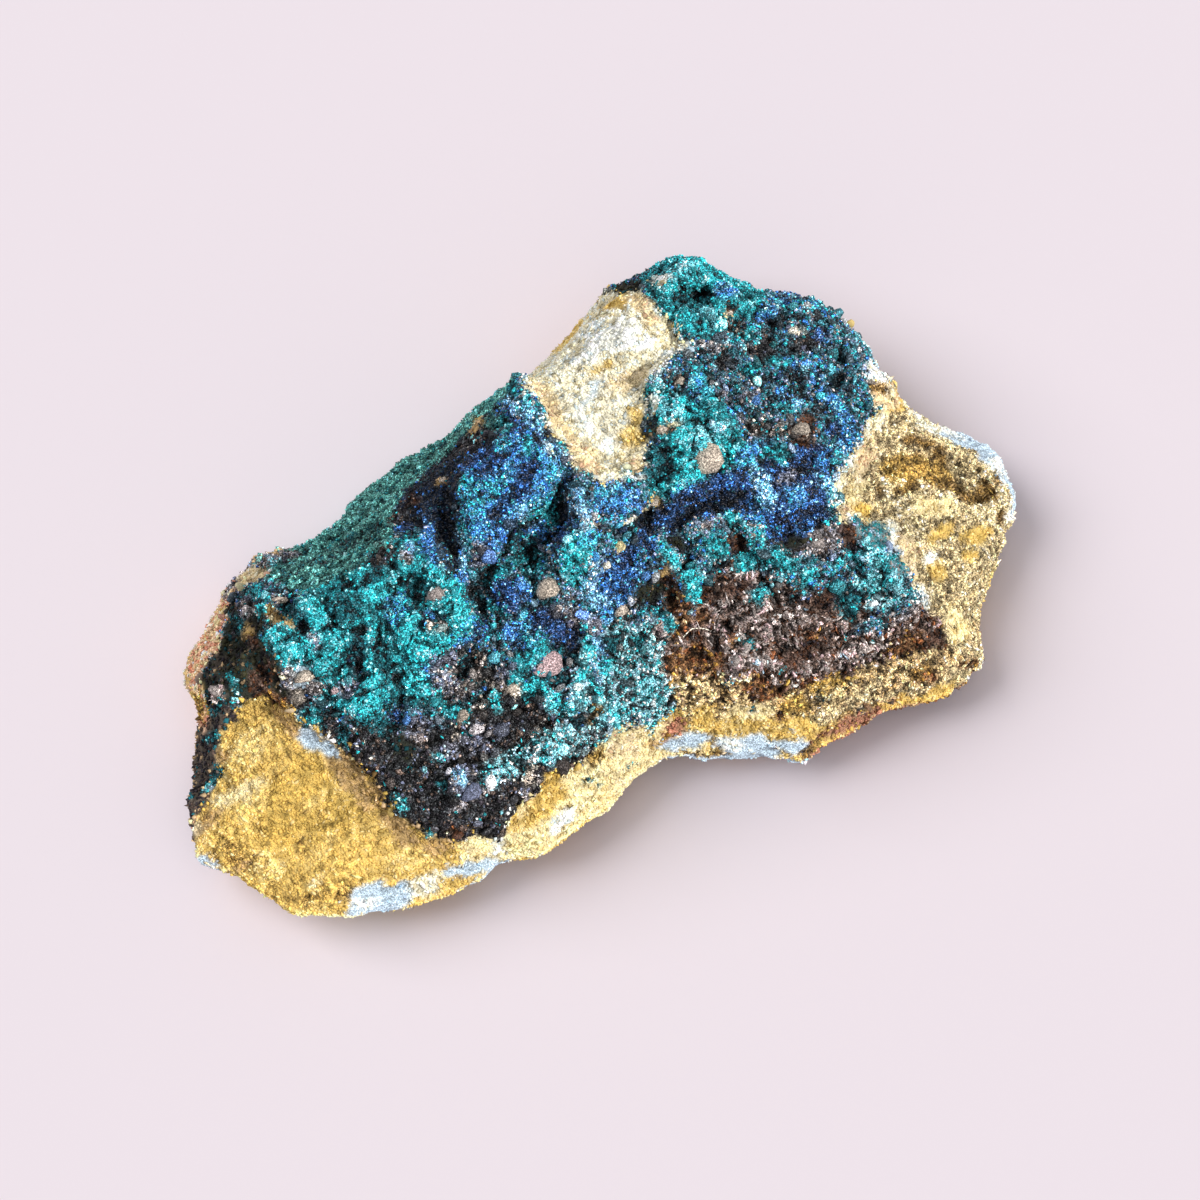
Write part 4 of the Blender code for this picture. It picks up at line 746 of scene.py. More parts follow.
# Kinds of grain: the piece that holds them, the setting for their spacing, the seed, how rough they
# are, their width beside the spacing, how long they are beside that, how far their own colours show,
# how far the dark ones keep to the hollows, which paints shade there as well as sorting the minerals,
# and their gloss.
Kind = namedtuple("Kind", "piece spacing seed roughness width stretch contrast sorting gloss")
KINDS = {
    "sand": Kind("sand_grains", "sand_spacing", 3, (0.45, 0.85), (0.7, 1.4), 2.0, 0.45, 0.5, 0.2),
    "malachite": Kind("malachite_grains", "malachite_spacing", 5, (0.4, 0.8), (0.8, 1.7), 1.3, 0.9,
                      0.8, 0.2),
    "azurite": Kind("azurite_crystals", "azurite_spacing", 7, (0.2, 0.6), (0.8, 1.7), 1.0, 0.9,
                    0.8, 0.45),
    "crumb": Kind("oxide_crumbs", "crumb_spacing", 9, (0.35, 0.8), (0.6, 2.0), 1.2, 0.95, 0.8, 0.2),
    "flake": Kind("brown_flakes", "flake_spacing", 11, (0.35, 0.75), (0.7, 2.4), 1.0, 0.95, 0.7, 0.2),
    "fragment": Kind("rock_fragments", "fragment_spacing", 13, (0.3, 0.7), (0.35, 1.2), 1.0, 0.6,
                     0.5, 0.25),
}
TRIANGLES_A_PIECE = 194000

# How grains are set, in millimetres where it is a length.
GRAIN_FLOOR = 0.6  # no grain lies lower than this
GRAIN_OVERHANG = -0.75  # or where the rock's normal points down more than this
PLACES_A_SQUARE = 6.0  # random places tried for each square of the spacing
STRAY = 0.22  # how far grains stray over the borders of their minerals
FRAGMENT_COVER = 0.4  # how much of the clods the fragments cover
CRUMBS_AMONG_FLAKES = 0.7  # how much of the flaky ground the crumbs cover
HEIGHT_CHANCE = 0.25  # how far chance mixes the dark grains with the pale ones
SPECKLE = 0.6  # how much one grain's shade differs from the next
DIMMEST, LIGHTEST = 0.2, 2.5  # limits of one grain's own shade
LARGE_SHARE, LARGE_SIZE = 0.1, 1.6  # some grains are larger than the rest
SINKING = (-0.2, 0.3)  # where a grain's middle lies beside the surface, in spacings
CRYSTAL_LEAN = 0.6  # crystals stand up, this loosely
GRAIN_LEAN = 0.35  # other grains lie down, this loosely
SEAT_GAP = 0.02  # no grain reaches under this height
BREAKS = 13  # flat faces that cut a fragment out of a ball
BREAK_DEPTHS = (0.55, 0.8)
BAKING_TRIANGLE = ((0.15, 0.15), (0.85, 0.15), (0.5, 0.85))  # a face's corners in its own cell


def linear(code):
    """A hexadecimal colour as linear red, green and blue."""
    parts = [int(code[i : i + 2], 16) / 255 for i in (1, 3, 5)]
    return tuple(p / 12.92 if p <= 0.04045 else ((p + 0.055) / 1.055) ** 2.4 for p in parts)


class SpecimenColours(bpy.types.PropertyGroup):
    """One colour for each mineral."""


for colour_name, (code, meaning) in PALETTE.items():
    SpecimenColours.__annotations__[colour_name] = bpy.props.FloatVectorProperty(
        name=colour_name.capitalize(), description=meaning, default=linear(code),
        subtype="COLOR", size=3, min=0, max=1)


class SpecimenSizes(bpy.types.PropertyGroup):
    """Sizes of the mesh and of its grains, and the light."""

    mesh_step: bpy.props.FloatProperty(
        name="Mesh step", description="Width of the rock's own faces",
        default=0.28 * MM, min=0.15 * MM, max=2 * MM, unit="LENGTH", precision=5)
    relief: bpy.props.FloatProperty(
        name="Relief", description="How strongly knobs and hollows stand out",
        default=1.0, min=0, max=2, subtype="FACTOR")
    sand_spacing: bpy.props.FloatProperty(
        name="Sand grain", description="Distance between sand grains",
        default=0.23 * MM, min=0.1 * MM, max=2 * MM, unit="LENGTH", precision=5)
    malachite_spacing: bpy.props.FloatProperty(
        name="Malachite grain", description="Distance between malachite grains",
        default=0.21 * MM, min=0.1 * MM, max=2 * MM, unit="LENGTH", precision=5)
    azurite_spacing: bpy.props.FloatProperty(
        name="Azurite crystal", description="Distance between azurite crystals",
        default=0.21 * MM, min=0.1 * MM, max=2 * MM, unit="LENGTH", precision=5)
    crumb_spacing: bpy.props.FloatProperty(
        name="Oxide crumb", description="Distance between crumbs of oxide",
        default=0.25 * MM, min=0.1 * MM, max=2 * MM, unit="LENGTH", precision=5)
    flake_spacing: bpy.props.FloatProperty(
        name="Brown flake", description="Distance between brown flakes",
        default=0.36 * MM, min=0.1 * MM, max=3 * MM, unit="LENGTH", precision=5)
    fragment_spacing: bpy.props.FloatProperty(
        name="Fragment", description="Distance between broken fragments in the crust",
        default=1.0 * MM, min=0.3 * MM, max=5 * MM, unit="LENGTH", precision=5)
    key_light: bpy.props.FloatProperty(
        name="Key light", description="Strength of the light on the stone",
        default=3.6, min=0, max=20)
    fill_light: bpy.props.FloatProperty(
        name="Fill light", description="Strength of the softer light from the far side",
        default=1.3, min=0, max=20)
    sky_light: bpy.props.FloatProperty(
        name="Sky light", description="Strength of the even light from all round",
        default=0.38, min=0, max=5)


def settings():
    """The user's sizes."""
    return bpy.context.scene.specimen_sizes


def colour(name):
    """A mineral's colour as an array."""
    return np.array(getattr(bpy.context.scene.specimen_colours, name))


# Noise and distances on arrays of points, in millimetres.


def lattice(cells, seed):
    """A fixed number from 0 to 1 for each whole-number place."""
    x, y, z = (cells[..., i] for i in range(3))
    mixed = (x * 73856093) ^ (y * 19349663) ^ (z * 83492791) ^ (seed * 668265263)
    mixed = ((mixed ^ (mixed >> 13)) * 1274126177) & 0x7FFFFFFF
    return ((mixed ^ (mixed >> 15)) & 0xFFFF) / 65535.0


def waves(points, cell, seed):
    """Smooth noise from -1 to 1, its features about a cell across."""
    scaled = points / cell
    base = np.floor(scaled).astype(np.int64)
    part = scaled - base
    part = part * part * (3 - 2 * part)
    total = np.zeros(len(points))
    for corner in np.ndindex(2, 2, 2):
        weight = np.where(corner, part, 1 - part).prod(axis=1)
        total += weight * lattice(base + np.array(corner), seed)
    return total * 2 - 1


def nearest_heart(points, cell, seed):
    """The nearest heart of a packing of cells: the cell's place, and the way from its heart."""
    scaled = points / cell
    base = np.floor(scaled).astype(np.int64)
    place, away = base.copy(), np.zeros(points.shape)
    nearest = np.full(len(points), 9.0)
    for corner in np.ndindex(3, 3, 3):
        there = base + np.array(corner) - 1
        offset = scaled - there - np.stack([lattice(there, seed + i) for i in range(3)], axis=1)
        gap = np.linalg.norm(offset, axis=1)
        closer = gap < nearest
        nearest[closer], place[closer], away[closer] = gap[closer], there[closer], offset[closer]
    return place, away


def knobs(points, cell, seed):
    """Rounded knobs: 1 in the middle of each, towards 0 in the gaps between them."""
    away = nearest_heart(points, cell, seed)[1]
    return np.clip(1 - (away * away).sum(axis=1), 0, 1)


def blocks(points, cell, seed):
    """Broken blocks from about -1 to 1: flat tilted tops with steps between them."""
    place, away = nearest_heart(points, cell, seed)
    tilt = np.stack([lattice(place, seed + 3 + i) for i in range(3)], axis=1) - 0.5
    return 1.3 * (lattice(place, seed + 6) - 0.5) + 2.2 * (away * tilt).sum(axis=1)


def clumps(points, cell, seed):
    """A fixed number from -0.5 to 0.5 for each cell of a packing."""
    return lattice(nearest_heart(points, cell, seed)[0], seed + 7) - 0.5


def inside(plan, outline):
    """Which plan points an outline goes round."""
    within = np.zeros(len(plan), bool)
    x, y = plan[:, 0], plan[:, 1]
    for (ax, ay), (bx, by) in zip(outline, outline[1:] + outline[:1]):
        crosses = (ay > y) != (by > y)
        reach = ax + (y - ay) * (bx - ax) / (by - ay if by != ay else 1e-9)
        within ^= crosses & (x < reach)
    return within


def oval(plan, x, y, half_length, half_width, turn=0):
    """Distance from the middle of a turned oval, 1 at its edge."""
    turn = np.radians(turn)
    dx, dy = plan[:, 0] - x, plan[:, 1] - y
    along = dx * np.cos(turn) + dy * np.sin(turn)
    across = dy * np.cos(turn) - dx * np.sin(turn)
    return np.hypot(along / half_length, across / half_width)


def creases(points, cell, seed):
    """Crinkles from -1 to 0.6: sharp crests where smooth noise passes through nothing."""
    bends = [waves(points, cell, seed + 1 + i) for i in range(3)]
    bent = points + 0.35 * cell * np.stack(bends, axis=1)
    return 0.6 - 1.9 * abs(waves(bent, cell, seed))


def layered(points, layers, shift=0, base=0.0):
    """A base with layers of noise on it: strength, kind, cell, seed and perhaps a stretch of each."""
    total = base
    for strength, noise, cell, seed, *stretch in layers:
        stretched = points * stretch[0] if stretch else points
        total = total + strength * noise(stretched, cell, seed + shift)
    return total


# A relief: how much darker its hollows are painted (painted shade, with painted highlight on ridges),
# how grainy its colours are, how much painted glint it gets, how far it swells out, and its layers of
# noise.
Relief = namedtuple("Relief", "depth grit sparkle swell layers")
RELIEFS = {
    "smooth": Relief(0.4, 0.35, 0.1, 0, ((0.06, waves, 1.3, 11), (0.06, creases, 0.7, 12))),
    "sandy": Relief(0.55, 0.14, 0.02, 0.05, ((0.14, creases, 1.5, 13), (0.14, creases, 0.7, 17))),
    "pitted": Relief(0.65, 0.75, 0.05, 0.08, (
        (0.2, creases, 1.7, 21, (1, 1.4, 1)), (0.2, creases, 0.65, 25))),
    "fibrous": Relief(0.4, 0.45, 0.1, 0, (
        (0.18, waves, 0.7, 15, (0.45, 0.8, 1.6)), (0.05, waves, 0.5, 16))),
    "flaky": Relief(1.1, 0.85, 0.08, 0.15, (
        (0.3, creases, 1.3, 29, (0.8, 1, 1.8)), (0.22, creases, 0.7, 33), (0.2, blocks, 1.5, 35))),
    "clods": Relief(1.0, 0.95, 0.5, 0.05, (
        (0.22, blocks, 1.9, 37), (0.16, blocks, 0.9, 41), (0.2, creases, 0.75, 45))),
    "velvet": Relief(0.95, 0.8, 0.4, 0.05, (
        (0.22, blocks, 1.9, 49), (0.24, creases, 1.3, 53), (0.2, creases, 0.62, 57))),
    "sugary": Relief(0.95, 1.0, 0.9, 0.02, (
        (0.14, blocks, 1.2, 61), (0.14, creases, 0.95, 65), (0.18, creases, 0.55, 69))),
}
RELIEF_NAMES = list(RELIEFS)
LIFTS = np.array([finish.lift for finish in FINISHES.values()])
RELIEF_OF = np.array([RELIEF_NAMES.index(finish.relief) for finish in FINISHES.values()])
SHADES = [RELIEFS[finish.relief] for finish in FINISHES.values()]
PAINTED_SHADE_DEPTHS = np.array([relief.depth for relief in SHADES])
GRAININESS = np.array([relief.grit for relief in SHADES])
PAINTED_GLINT_SHARES = np.array([relief.sparkle for relief in SHADES])

# Layers of noise that bend the minerals' borders, fray the patches and bend the sides' borders.
BORDER_BENDS = ((0.42, waves, 1.7, 50), (0.3, waves, 0.7, 60), (0.15, waves, 0.35, 64))
FRAYED_EDGES = ((0.25, waves, 0.9, 66), (0.2, waves, 0.4, 67))
SIDE_BENDS = ((1.6, waves, 4.0, 70), (0.5, waves, 1.2, 80))
SIDE_STRETCH = (1, 1, 1.8)  # the minerals lie in layers there
# Layers that make the colours uneven everywhere, and from one grain to the next.
UNEVEN_SHADE = ((0.12, waves, 3.0, 90), (0.1, waves, 1.0, 91))
SAND_MOTTLE = ((0.5, waves, 2.2, 95), (0.4, waves, 0.8, 96))
CRUST_MOTTLE = ((1.1, clumps, 0.75, 95), (0.9, clumps, 0.36, 96))

# How the rock's skin is worked. Rounds of evening out along the edges:
STEPS_ROUNDS = 2  # take the steps out of the small even faces
BROAD_ROUNDS = 14  # leave the rock's broad form alone
LIFT_ROUNDS = 2  # give the way that the relief rises
BORDER_ROUNDS = 3  # soften the borders between reliefs
GROUND_ROUNDS = 2  # soften the borders between colours
FINE_ROUNDS = 4  # show the small hollows
WIDE_ROUNDS = 30  # show the wide hollows
# Its slopes, as the upward part of a normal, and its depths in millimetres:
SIDE_SLOPE = 0.2  # a side rises less than this
UNDERSIDE_SLOPE = -0.3  # the underside faces down more than this
UNDERSIDE_HEIGHT = 3.0  # and lies lower than this
UNDERSIDE_THINNING = 0.97  # the share of its faces that it can spare
OVERHANG = 1.3  # what lies this far under the upper surface is hidden from above
SEAT_HEIGHT = 0.1  # up to here the relief leaves the seat flat
SEAT_FADE = 0.8  # and over this height it comes in
CREST_MARGIN = 0.3  # the crest is flattened from this far under the CAD's height
CREST_FLATTENING = 0.6
# These set the painted shade in the hollows and the painted highlight on the ridges, within the
# limits below.
FINE_DEPTH = 0.06  # a deep hollow among the small ones
WIDE_DEPTH = 0.35  # and among the wide ones
FINE_SHARE, WIDE_SHARE = 0.6, 0.55
DARKEST, BRIGHTEST = 0.15, 1.7  # limits of the shade
ROCK_ROUGHNESS = 0.75
TOUCHING = 1e-6  # metres, within which the solid's vertices are one


# Arrays from a mesh and back.


def column(rows, name, width, kind=float):
    """One property of all of a mesh's rows as an array."""
    flat = np.zeros(len(rows) * width, kind)
    rows.foreach_get(name, flat)
    return flat.reshape(-1, width)


class Skin:
    """The rock's vertices and edges as arrays, in millimetres."""

    def __init__(self, mesh):
        self.mesh = mesh
        self.points = column(mesh.vertices, "co", 3) / MM
        self.a, self.b = column(mesh.edges, "vertices", 2, np.int32).T
        self.count = len(self.points)
        self.links = np.bincount(np.r_[self.a, self.b], minlength=self.count)[:, None]

    def spread(self, values, rounds):
        """Values evened out along the edges."""
        for _ in range(rounds):
            near = np.stack([np.bincount(self.a, c[self.b], self.count)
                             + np.bincount(self.b, c[self.a], self.count) for c in values.T], axis=1)
            values = (values + near / self.links) / 2
        return values

    def normals(self, points):
        """The normals that the surface has with its vertices at these points."""
        self.mesh.vertices.foreach_set("co", (points * MM).ravel())
        self.mesh.update()
        return column(self.mesh.vertex_normals, "vector", 3)


def even_rock(step):
    """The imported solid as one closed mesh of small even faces."""
    merged = bmesh.new()
    merged.from_mesh(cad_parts[NODE].data)
    bmesh.ops.remove_doubles(merged, verts=merged.verts, dist=TOUCHING)
    solid = bpy.data.meshes.new("solid")
    merged.to_mesh(solid)
    merged.free()
    rough = bpy.data.objects.new("solid", solid)
    bpy.context.scene.collection.objects.link(rough)
    remesh = rough.modifiers.new("Even faces", "REMESH")
    remesh.mode = "VOXEL"
    remesh.voxel_size = step
    graph = bpy.context.evaluated_depsgraph_get()
    rough.data = bpy.data.meshes.new_from_object(rough.evaluated_get(graph))
    rough.modifiers.clear()
    bpy.data.meshes.remove(solid)
    return thinned_below(rough)


def thinned_below(rough):
    """The mesh of an object with far fewer faces on its underside, which lies on the ground."""
    mesh = rough.data
    heights = column(mesh.vertices, "co", 3)[:, 2] / MM
    facing = column(mesh.vertex_normals, "vector", 3)[:, 2]
    below = (heights < UNDERSIDE_HEIGHT) & (facing < UNDERSIDE_SLOPE)
    group = rough.vertex_groups.new(name="underside")
    group.add(np.flatnonzero(below).tolist(), 1.0, "REPLACE")
    thin = rough.modifiers.new("Thin underside", "DECIMATE")
    thin.vertex_group = group.name
    thin.ratio = 1 - UNDERSIDE_THINNING * below.mean()
    graph = bpy.context.evaluated_depsgraph_get()
    thinned = bpy.data.meshes.new_from_object(rough.evaluated_get(graph))
    bpy.data.objects.remove(rough)
    bpy.data.meshes.remove(mesh)
    return thinned


def tops_at(mesh, plan):
    """The height of a mesh's upper surface, in millimetres, at each x and y, or minus infinity."""
    tree = BVHTree.FromPolygons([v.co for v in mesh.vertices], [p.vertices for p in mesh.polygons])
    down = Vector((0, 0, -1))
    tops = [tree.ray_cast(Vector((x * MM, y * MM, 1)), down)[0] for x, y in plan]
    return np.array([-np.inf if top is None else top.z / MM for top in tops])


def finish_codes(points, on_side):
    """The number of each point's finish: areas, patches over them, then the sides."""
    bends = [layered(points, BORDER_BENDS, i) for i in range(2)]
    plan = points[:, :2] + np.stack(bends, axis=1)
    frayed = layered(points, FRAYED_EDGES, base=1)
    codes = np.full(len(points), NAMES.index("golden_sand"))
    for name, outline in AREAS:
        codes[inside(plan, outline)] = NAMES.index(name)
    for name, *ovals in PATCHES:
        for place in ovals:
            codes[oval(plan, *place) < frayed] = NAMES.index(name)
    spots = np.array([spot[1:] for spot in SIDE_SPOTS], float)
    codes_there = np.array([NAMES.index(spot[0]) for spot in SIDE_SPOTS])
    bends = [layered(points[on_side], SIDE_BENDS, i) for i in range(3)]
    bent = points[on_side] + np.stack(bends, axis=1)
    gaps = np.linalg.norm((bent[:, None] - spots[None]) * SIDE_STRETCH, axis=2)
    codes[on_side] = codes_there[gaps.argmin(axis=1)]
    return codes


def mottled_with_painted_shade(colours, points, hollow, codes):
    """Colours with painted shade in hollows, painted highlight on ridges, and uneven over a few
    millimetres.
    """
    uneven = layered(points, UNEVEN_SHADE, base=1)
    # Painted shade: darker in the hollows; painted highlight: lighter on the ridges.
    shade = np.clip(1 + PAINTED_SHADE_DEPTHS[codes] * hollow, DARKEST, BRIGHTEST)
    return colours * (uneven * shade)[:, None]


# Shader maths and materials.

STROKE_WIDTH = 0.11  # the part of the noise that a crooked line takes up
STROKE_SIZE = 2.2  # beside the size of the specks
STROKE_TONES = (-0.6, 0.9)  # darkening between the strokes and brightening along them
STROKE_SHARE = 0.8
SPECK_BAND = (0.36, 0.64)  # the part of the noise over which specks go from dark to bright
DARKEST_SPECK = 0.12
# Glints are painted highlights: where the noise lies in this band, the base colour is brightened and
# white is added.
GLINT_BAND = (0.62, 0.7)  # the part of the noise that sparkles
GLINT_GAIN = 1.2
GLINT_WHITE = 0.14
ROCK_SPECK, GRAIN_SPECK = 0.16, 0.13  # size of the specks, in millimetres
ROCK_BUMP, GRAIN_BUMP = 0.12, 0.06  # height of the bumps, in millimetres
ROCK_GLOSS = 0.15


class Value:
    """A socket whose sums and products add Math nodes."""

    def __init__(self, recipe, socket):
        self.recipe = recipe
        self.socket = socket

    def math(self, operation, *values):
        return self.recipe.add("ShaderNodeMath", {"operation": operation}, dict(enumerate(values)))

    def __add__(self, other):
        return self.math("ADD", self, other)

    def __sub__(self, other):
        return self.math("SUBTRACT", self, other)

    def __rsub__(self, other):
        return self.math("SUBTRACT", other, self)

    def __mul__(self, other):
        return self.math("MULTIPLY", self, other)

    __radd__ = __add__
    __rmul__ = __mul__


class Recipe:
    """A material that is being put together."""

    def __init__(self, name):
        self.material = bpy.data.materials.new(name)
        self.material.use_nodes = True
        self.tree = self.material.node_tree
        self.tree.nodes.clear()

    def add(self, kind, choices, inputs, output=0):
        """A node with its settings made first and then its sockets, as one of its outputs."""
        node = self.tree.nodes.new(kind)
        for name, choice in choices.items():
            setattr(node, name, choice)
        for key, value in inputs.items():
            if isinstance(value, Value):
                self.tree.links.new(value.socket, node.inputs[key])
            else:
                node.inputs[key].default_value = value
        return Value(self, node.outputs[output]) if node.outputs else None

    def place(self):
        """Where a point lies on the piece."""
        return self.add("ShaderNodeTexCoord", {}, {}, "Object")

    def noise(self, size, detail=2.0, roughness=0.6):
        """Noise whose features are about this many millimetres across."""
        return self.add("ShaderNodeTexNoise", {}, {
            "Vector": self.place(), "Scale": 1 / (size * MM), "Detail": detail,
            "Roughness": roughness}, "Fac")

    def strokes(self, size):
        """Bright crooked lines, 1 along their middles and 0 between them."""
        fold = self.noise(size, 1.0) - 0.5
        return self.between(fold.math("ABSOLUTE", fold), 0.0, STROKE_WIDTH, 1.0, 0.0)

    def kept(self, name, output="Color"):
        """A value that the piece keeps for each of its points."""
        return self.add("ShaderNodeAttribute", {"attribute_name": name}, {}, output)

    def scaled(self, tone, factor):
        """A colour times a number."""
        return self.add("ShaderNodeVectorMath", {"operation": "SCALE"},
                        {0: tone, "Scale": factor})

    def between(self, factor, first, last, low, high):
        """A number that goes from low to high while the factor goes from first to last."""
        return self.add("ShaderNodeMapRange", {}, {
            "Value": factor, "From Min": first, "From Max": last, "To Min": low, "To Max": high})

    def gritty(self, size):
        """The kept colour with fine specks, crooked strokes and painted glints of this size."""
        grit = self.kept("grit", "Fac")
        specks = self.between(self.noise(size, 2.0, 0.7), *SPECK_BAND, -1.0, 1.0)
        strokes = self.between(self.strokes(STROKE_SIZE * size), 0.0, 1.0, *STROKE_TONES)
        # Painted glints: sparkling points brightened and whitened in the base colour.
        points = self.between(self.noise(size, 0.0), *GLINT_BAND, 0.0, 1.0)
        painted_glints = points * self.kept("sparkle", "Fac")
        specked = specks * grit + 1.0
        factor = specked.math("MAXIMUM", specked, DARKEST_SPECK)
        factor = factor * (strokes * grit * STROKE_SHARE + 1.0) * (painted_glints * GLINT_GAIN + 1.0)
        tone = self.scaled(self.kept("tint"), factor)
        white = painted_glints * GLINT_WHITE
        return self.add("ShaderNodeVectorMath", {"operation": "ADD"}, {0: tone, 1: white})

    def finish(self, base, bump, height, gloss):
        """Joins all into a Principled shader, with bumps of a height in millimetres."""
        normal = self.add("ShaderNodeBump", {}, {
            "Strength": 1.0, "Distance": height * MM, "Height": bump})
        shader = self.add("ShaderNodeBsdfPrincipled", {}, {
            "Base Color": base, "Roughness": self.kept("tint", "Alpha"), "Normal": normal,
            "Specular IOR Level": gloss})
        self.add("ShaderNodeOutputMaterial", {}, {"Surface": shader})
        return self.material


def rock_material():
    """Stone under its grains: the kept colours, broken up by fine specks."""
    recipe = Recipe("mineral_ground")
    bump = recipe.noise(0.2, detail=3.0) + recipe.strokes(0.3) * 0.4
    return recipe.finish(recipe.gritty(ROCK_SPECK), bump, ROCK_BUMP, ROCK_GLOSS)


def grain_material(name, gloss):
    """The grains' kept colours, painted shade and highlight included, with fine specks and painted
    glints.
    """
    recipe = Recipe(name)
    bump = recipe.noise(0.12, roughness=0.7)
    return recipe.finish(recipe.gritty(GRAIN_SPECK), bump, GRAIN_BUMP, gloss)


def add_piece(name, mesh, material):
    """Shows a mesh as a piece of the specimen."""
    mesh.name = name
    mesh.materials.clear()
    mesh.materials.append(material)
    piece = bpy.data.objects.new(name, mesh)
    bpy.context.scene.collection.objects.link(piece)
    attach(piece, BODY)
    return piece


def keep_looks(mesh, colours, roughness, codes):
    """Keeps a colour and a roughness for each vertex, how grainy it is and how much painted glint it
    gets.
    """
    tint = mesh.color_attributes.new("tint", "FLOAT_COLOR", "POINT")
    values = np.column_stack([np.clip(colours, 0, 1), roughness])
    tint.data.foreach_set("color", values.astype(np.float32).ravel())
    for name, values in (("grit", GRAININESS), ("sparkle", PAINTED_GLINT_SHARES)):
        kept = mesh.attributes.new(name, "FLOAT", "POINT")
        kept.data.foreach_set("value", values[codes].astype(np.float32))


def mean_tone(finish):
    """The average of a finish's colours."""
    shares = np.array([share for *_, share in finish.tones])
    shades = np.array([colour(name) * brightness for name, brightness, _ in finish.tones])
    return shares @ shades / shares.sum()


class SPECIMEN_OT_rock(bpy.types.Operator):
    """Makes the rock: sandstone and crust, with each mineral's own roughness and colour, and painted
    shade and highlight
    """

    bl_idname = "specimen.rock"
    bl_label = "Rock"

    def execute(self, context):
        mesh = even_rock(settings().mesh_step)
        skin = Skin(mesh)
        points = skin.spread(skin.points, STEPS_ROUNDS)
        broad = skin.normals(skin.spread(points, BROAD_ROUNDS))
        lifted = skin.normals(skin.spread(points, LIFT_ROUNDS))
        skin.normals(points)
        hidden = tops_at(mesh, points[:, :2]) - points[:, 2] > OVERHANG
        on_side = (broad[:, 2] < SIDE_SLOPE) | hidden
        codes = finish_codes(points, on_side)
        rise = skin.spread(LIFTS[codes][:, None], BORDER_ROUNDS)[:, 0]
        shares = skin.spread(np.eye(len(RELIEFS))[RELIEF_OF[codes]], BORDER_ROUNDS)
        for share, relief in zip(shares.T, RELIEFS.values()):
            rise += share * (layered(points, relief.layers) + relief.swell)
        seat = np.clip((points[:, 2] - SEAT_HEIGHT) / SEAT_FADE, 0, 1)
        points = points + lifted * (rise * settings().relief * seat)[:, None]
        crest = CAD_BOX[1][2] / MM - CREST_MARGIN
        above = np.maximum(points[:, 2] - crest, 0)
        points[:, 2] = np.maximum(points[:, 2], 0) - CREST_FLATTENING * above
        outward = skin.normals(points)
        fine = ((points - skin.spread(points, FINE_ROUNDS)) * outward).sum(axis=1)
        wide = ((points - skin.spread(points, WIDE_ROUNDS)) * outward).sum(axis=1)
        hollow = FINE_SHARE * np.tanh(fine / FINE_DEPTH) + WIDE_SHARE * np.tanh(wide / WIDE_DEPTH)
        means = np.array([mean_tone(finish) for finish in FINISHES.values()])
        grounds = skin.spread(means[codes], GROUND_ROUNDS)
        # Painted shade in the hollows and painted highlight on the ridges go into the rock's kept
        # colour.
        tones = mottled_with_painted_shade(grounds, points, hollow, codes)
        keep_looks(mesh, tones, np.full(len(points), ROCK_ROUGHNESS), codes)
        kept = (("side", "INT", on_side), ("finish", "INT", codes), ("hollow", "FLOAT", hollow))
        for name, kind, values in kept:
            mesh.attributes.new(name, kind, "POINT").data.foreach_set("value", values)
        ground = mesh.attributes.new("ground", "FLOAT_VECTOR", "POINT")
        ground.data.foreach_set("vector", grounds.ravel())
        mesh.polygons.foreach_set("use_smooth", np.zeros(len(mesh.polygons), bool))
        rock = add_piece("rock", mesh, rock_material())
        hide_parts(NODE)
        return {"FINISHED"}


def broken_shape(shape, chance):
    """Cuts a ball down to an angular fragment by flat faces all round it."""
    faces = chance.normal(size=(BREAKS, 3))
    faces /= np.linalg.norm(faces, axis=1)[:, None]
    depths = chance.uniform(*BREAK_DEPTHS, len(faces))
    for vertex in shape.verts:
        away = faces @ np.array(vertex.co.normalized())
        vertex.co *= min(1.0, (depths / np.maximum(away, 0.01)).min())


def grain_shape(name):
    """One grain about a unit wide, as arrays of its vertices and triangles."""
    shape = bmesh.new()
    if name == "flake":
        bmesh.ops.create_cone(shape, cap_ends=True, segments=5, radius1=0.5, radius2=0.4, depth=0.13)
    elif name == "azurite":
        bmesh.ops.create_cone(shape, cap_ends=True, segments=3, radius1=0.45, radius2=0.3, depth=0.8)
    elif name == "fragment":
        bmesh.ops.create_icosphere(shape, subdivisions=2, radius=0.5)
        broken_shape(shape, np.random.default_rng(21))
    else:
        bmesh.ops.create_uvsphere(shape, u_segments=4, v_segments=2, radius=0.5)
    bmesh.ops.triangulate(shape, faces=shape.faces)
    vertices = np.array([v.co for v in shape.verts])
    if name == "fragment":
        vertices /= vertices.max(axis=0) - vertices.min(axis=0)
    triangles = np.array([[v.index for v in f.verts] for f in shape.faces])
    shape.free()
    return vertices, triangles


def turns_towards(chance, outward, looseness):
    """Turned axes whose third axis leans towards the surface's normal."""
    third = outward + looseness * chance.normal(size=outward.shape)
    third /= np.linalg.norm(third, axis=1)[:, None]
    first = np.cross(third, chance.normal(size=outward.shape))
    first /= np.linalg.norm(first, axis=1)[:, None]
    return np.stack([first, np.cross(third, first), third], axis=2)


def cover_by(kind, finish):
    """How much of a finish a kind of grain covers."""
    if kind == "fragment":
        return FRAGMENT_COVER if finish.relief == "clods" else 0.0
    if kind == "crumb" and finish.grain == "flake":
        return CRUMBS_AMONG_FLAKES
    return finish.cover if finish.grain == kind else 0.0


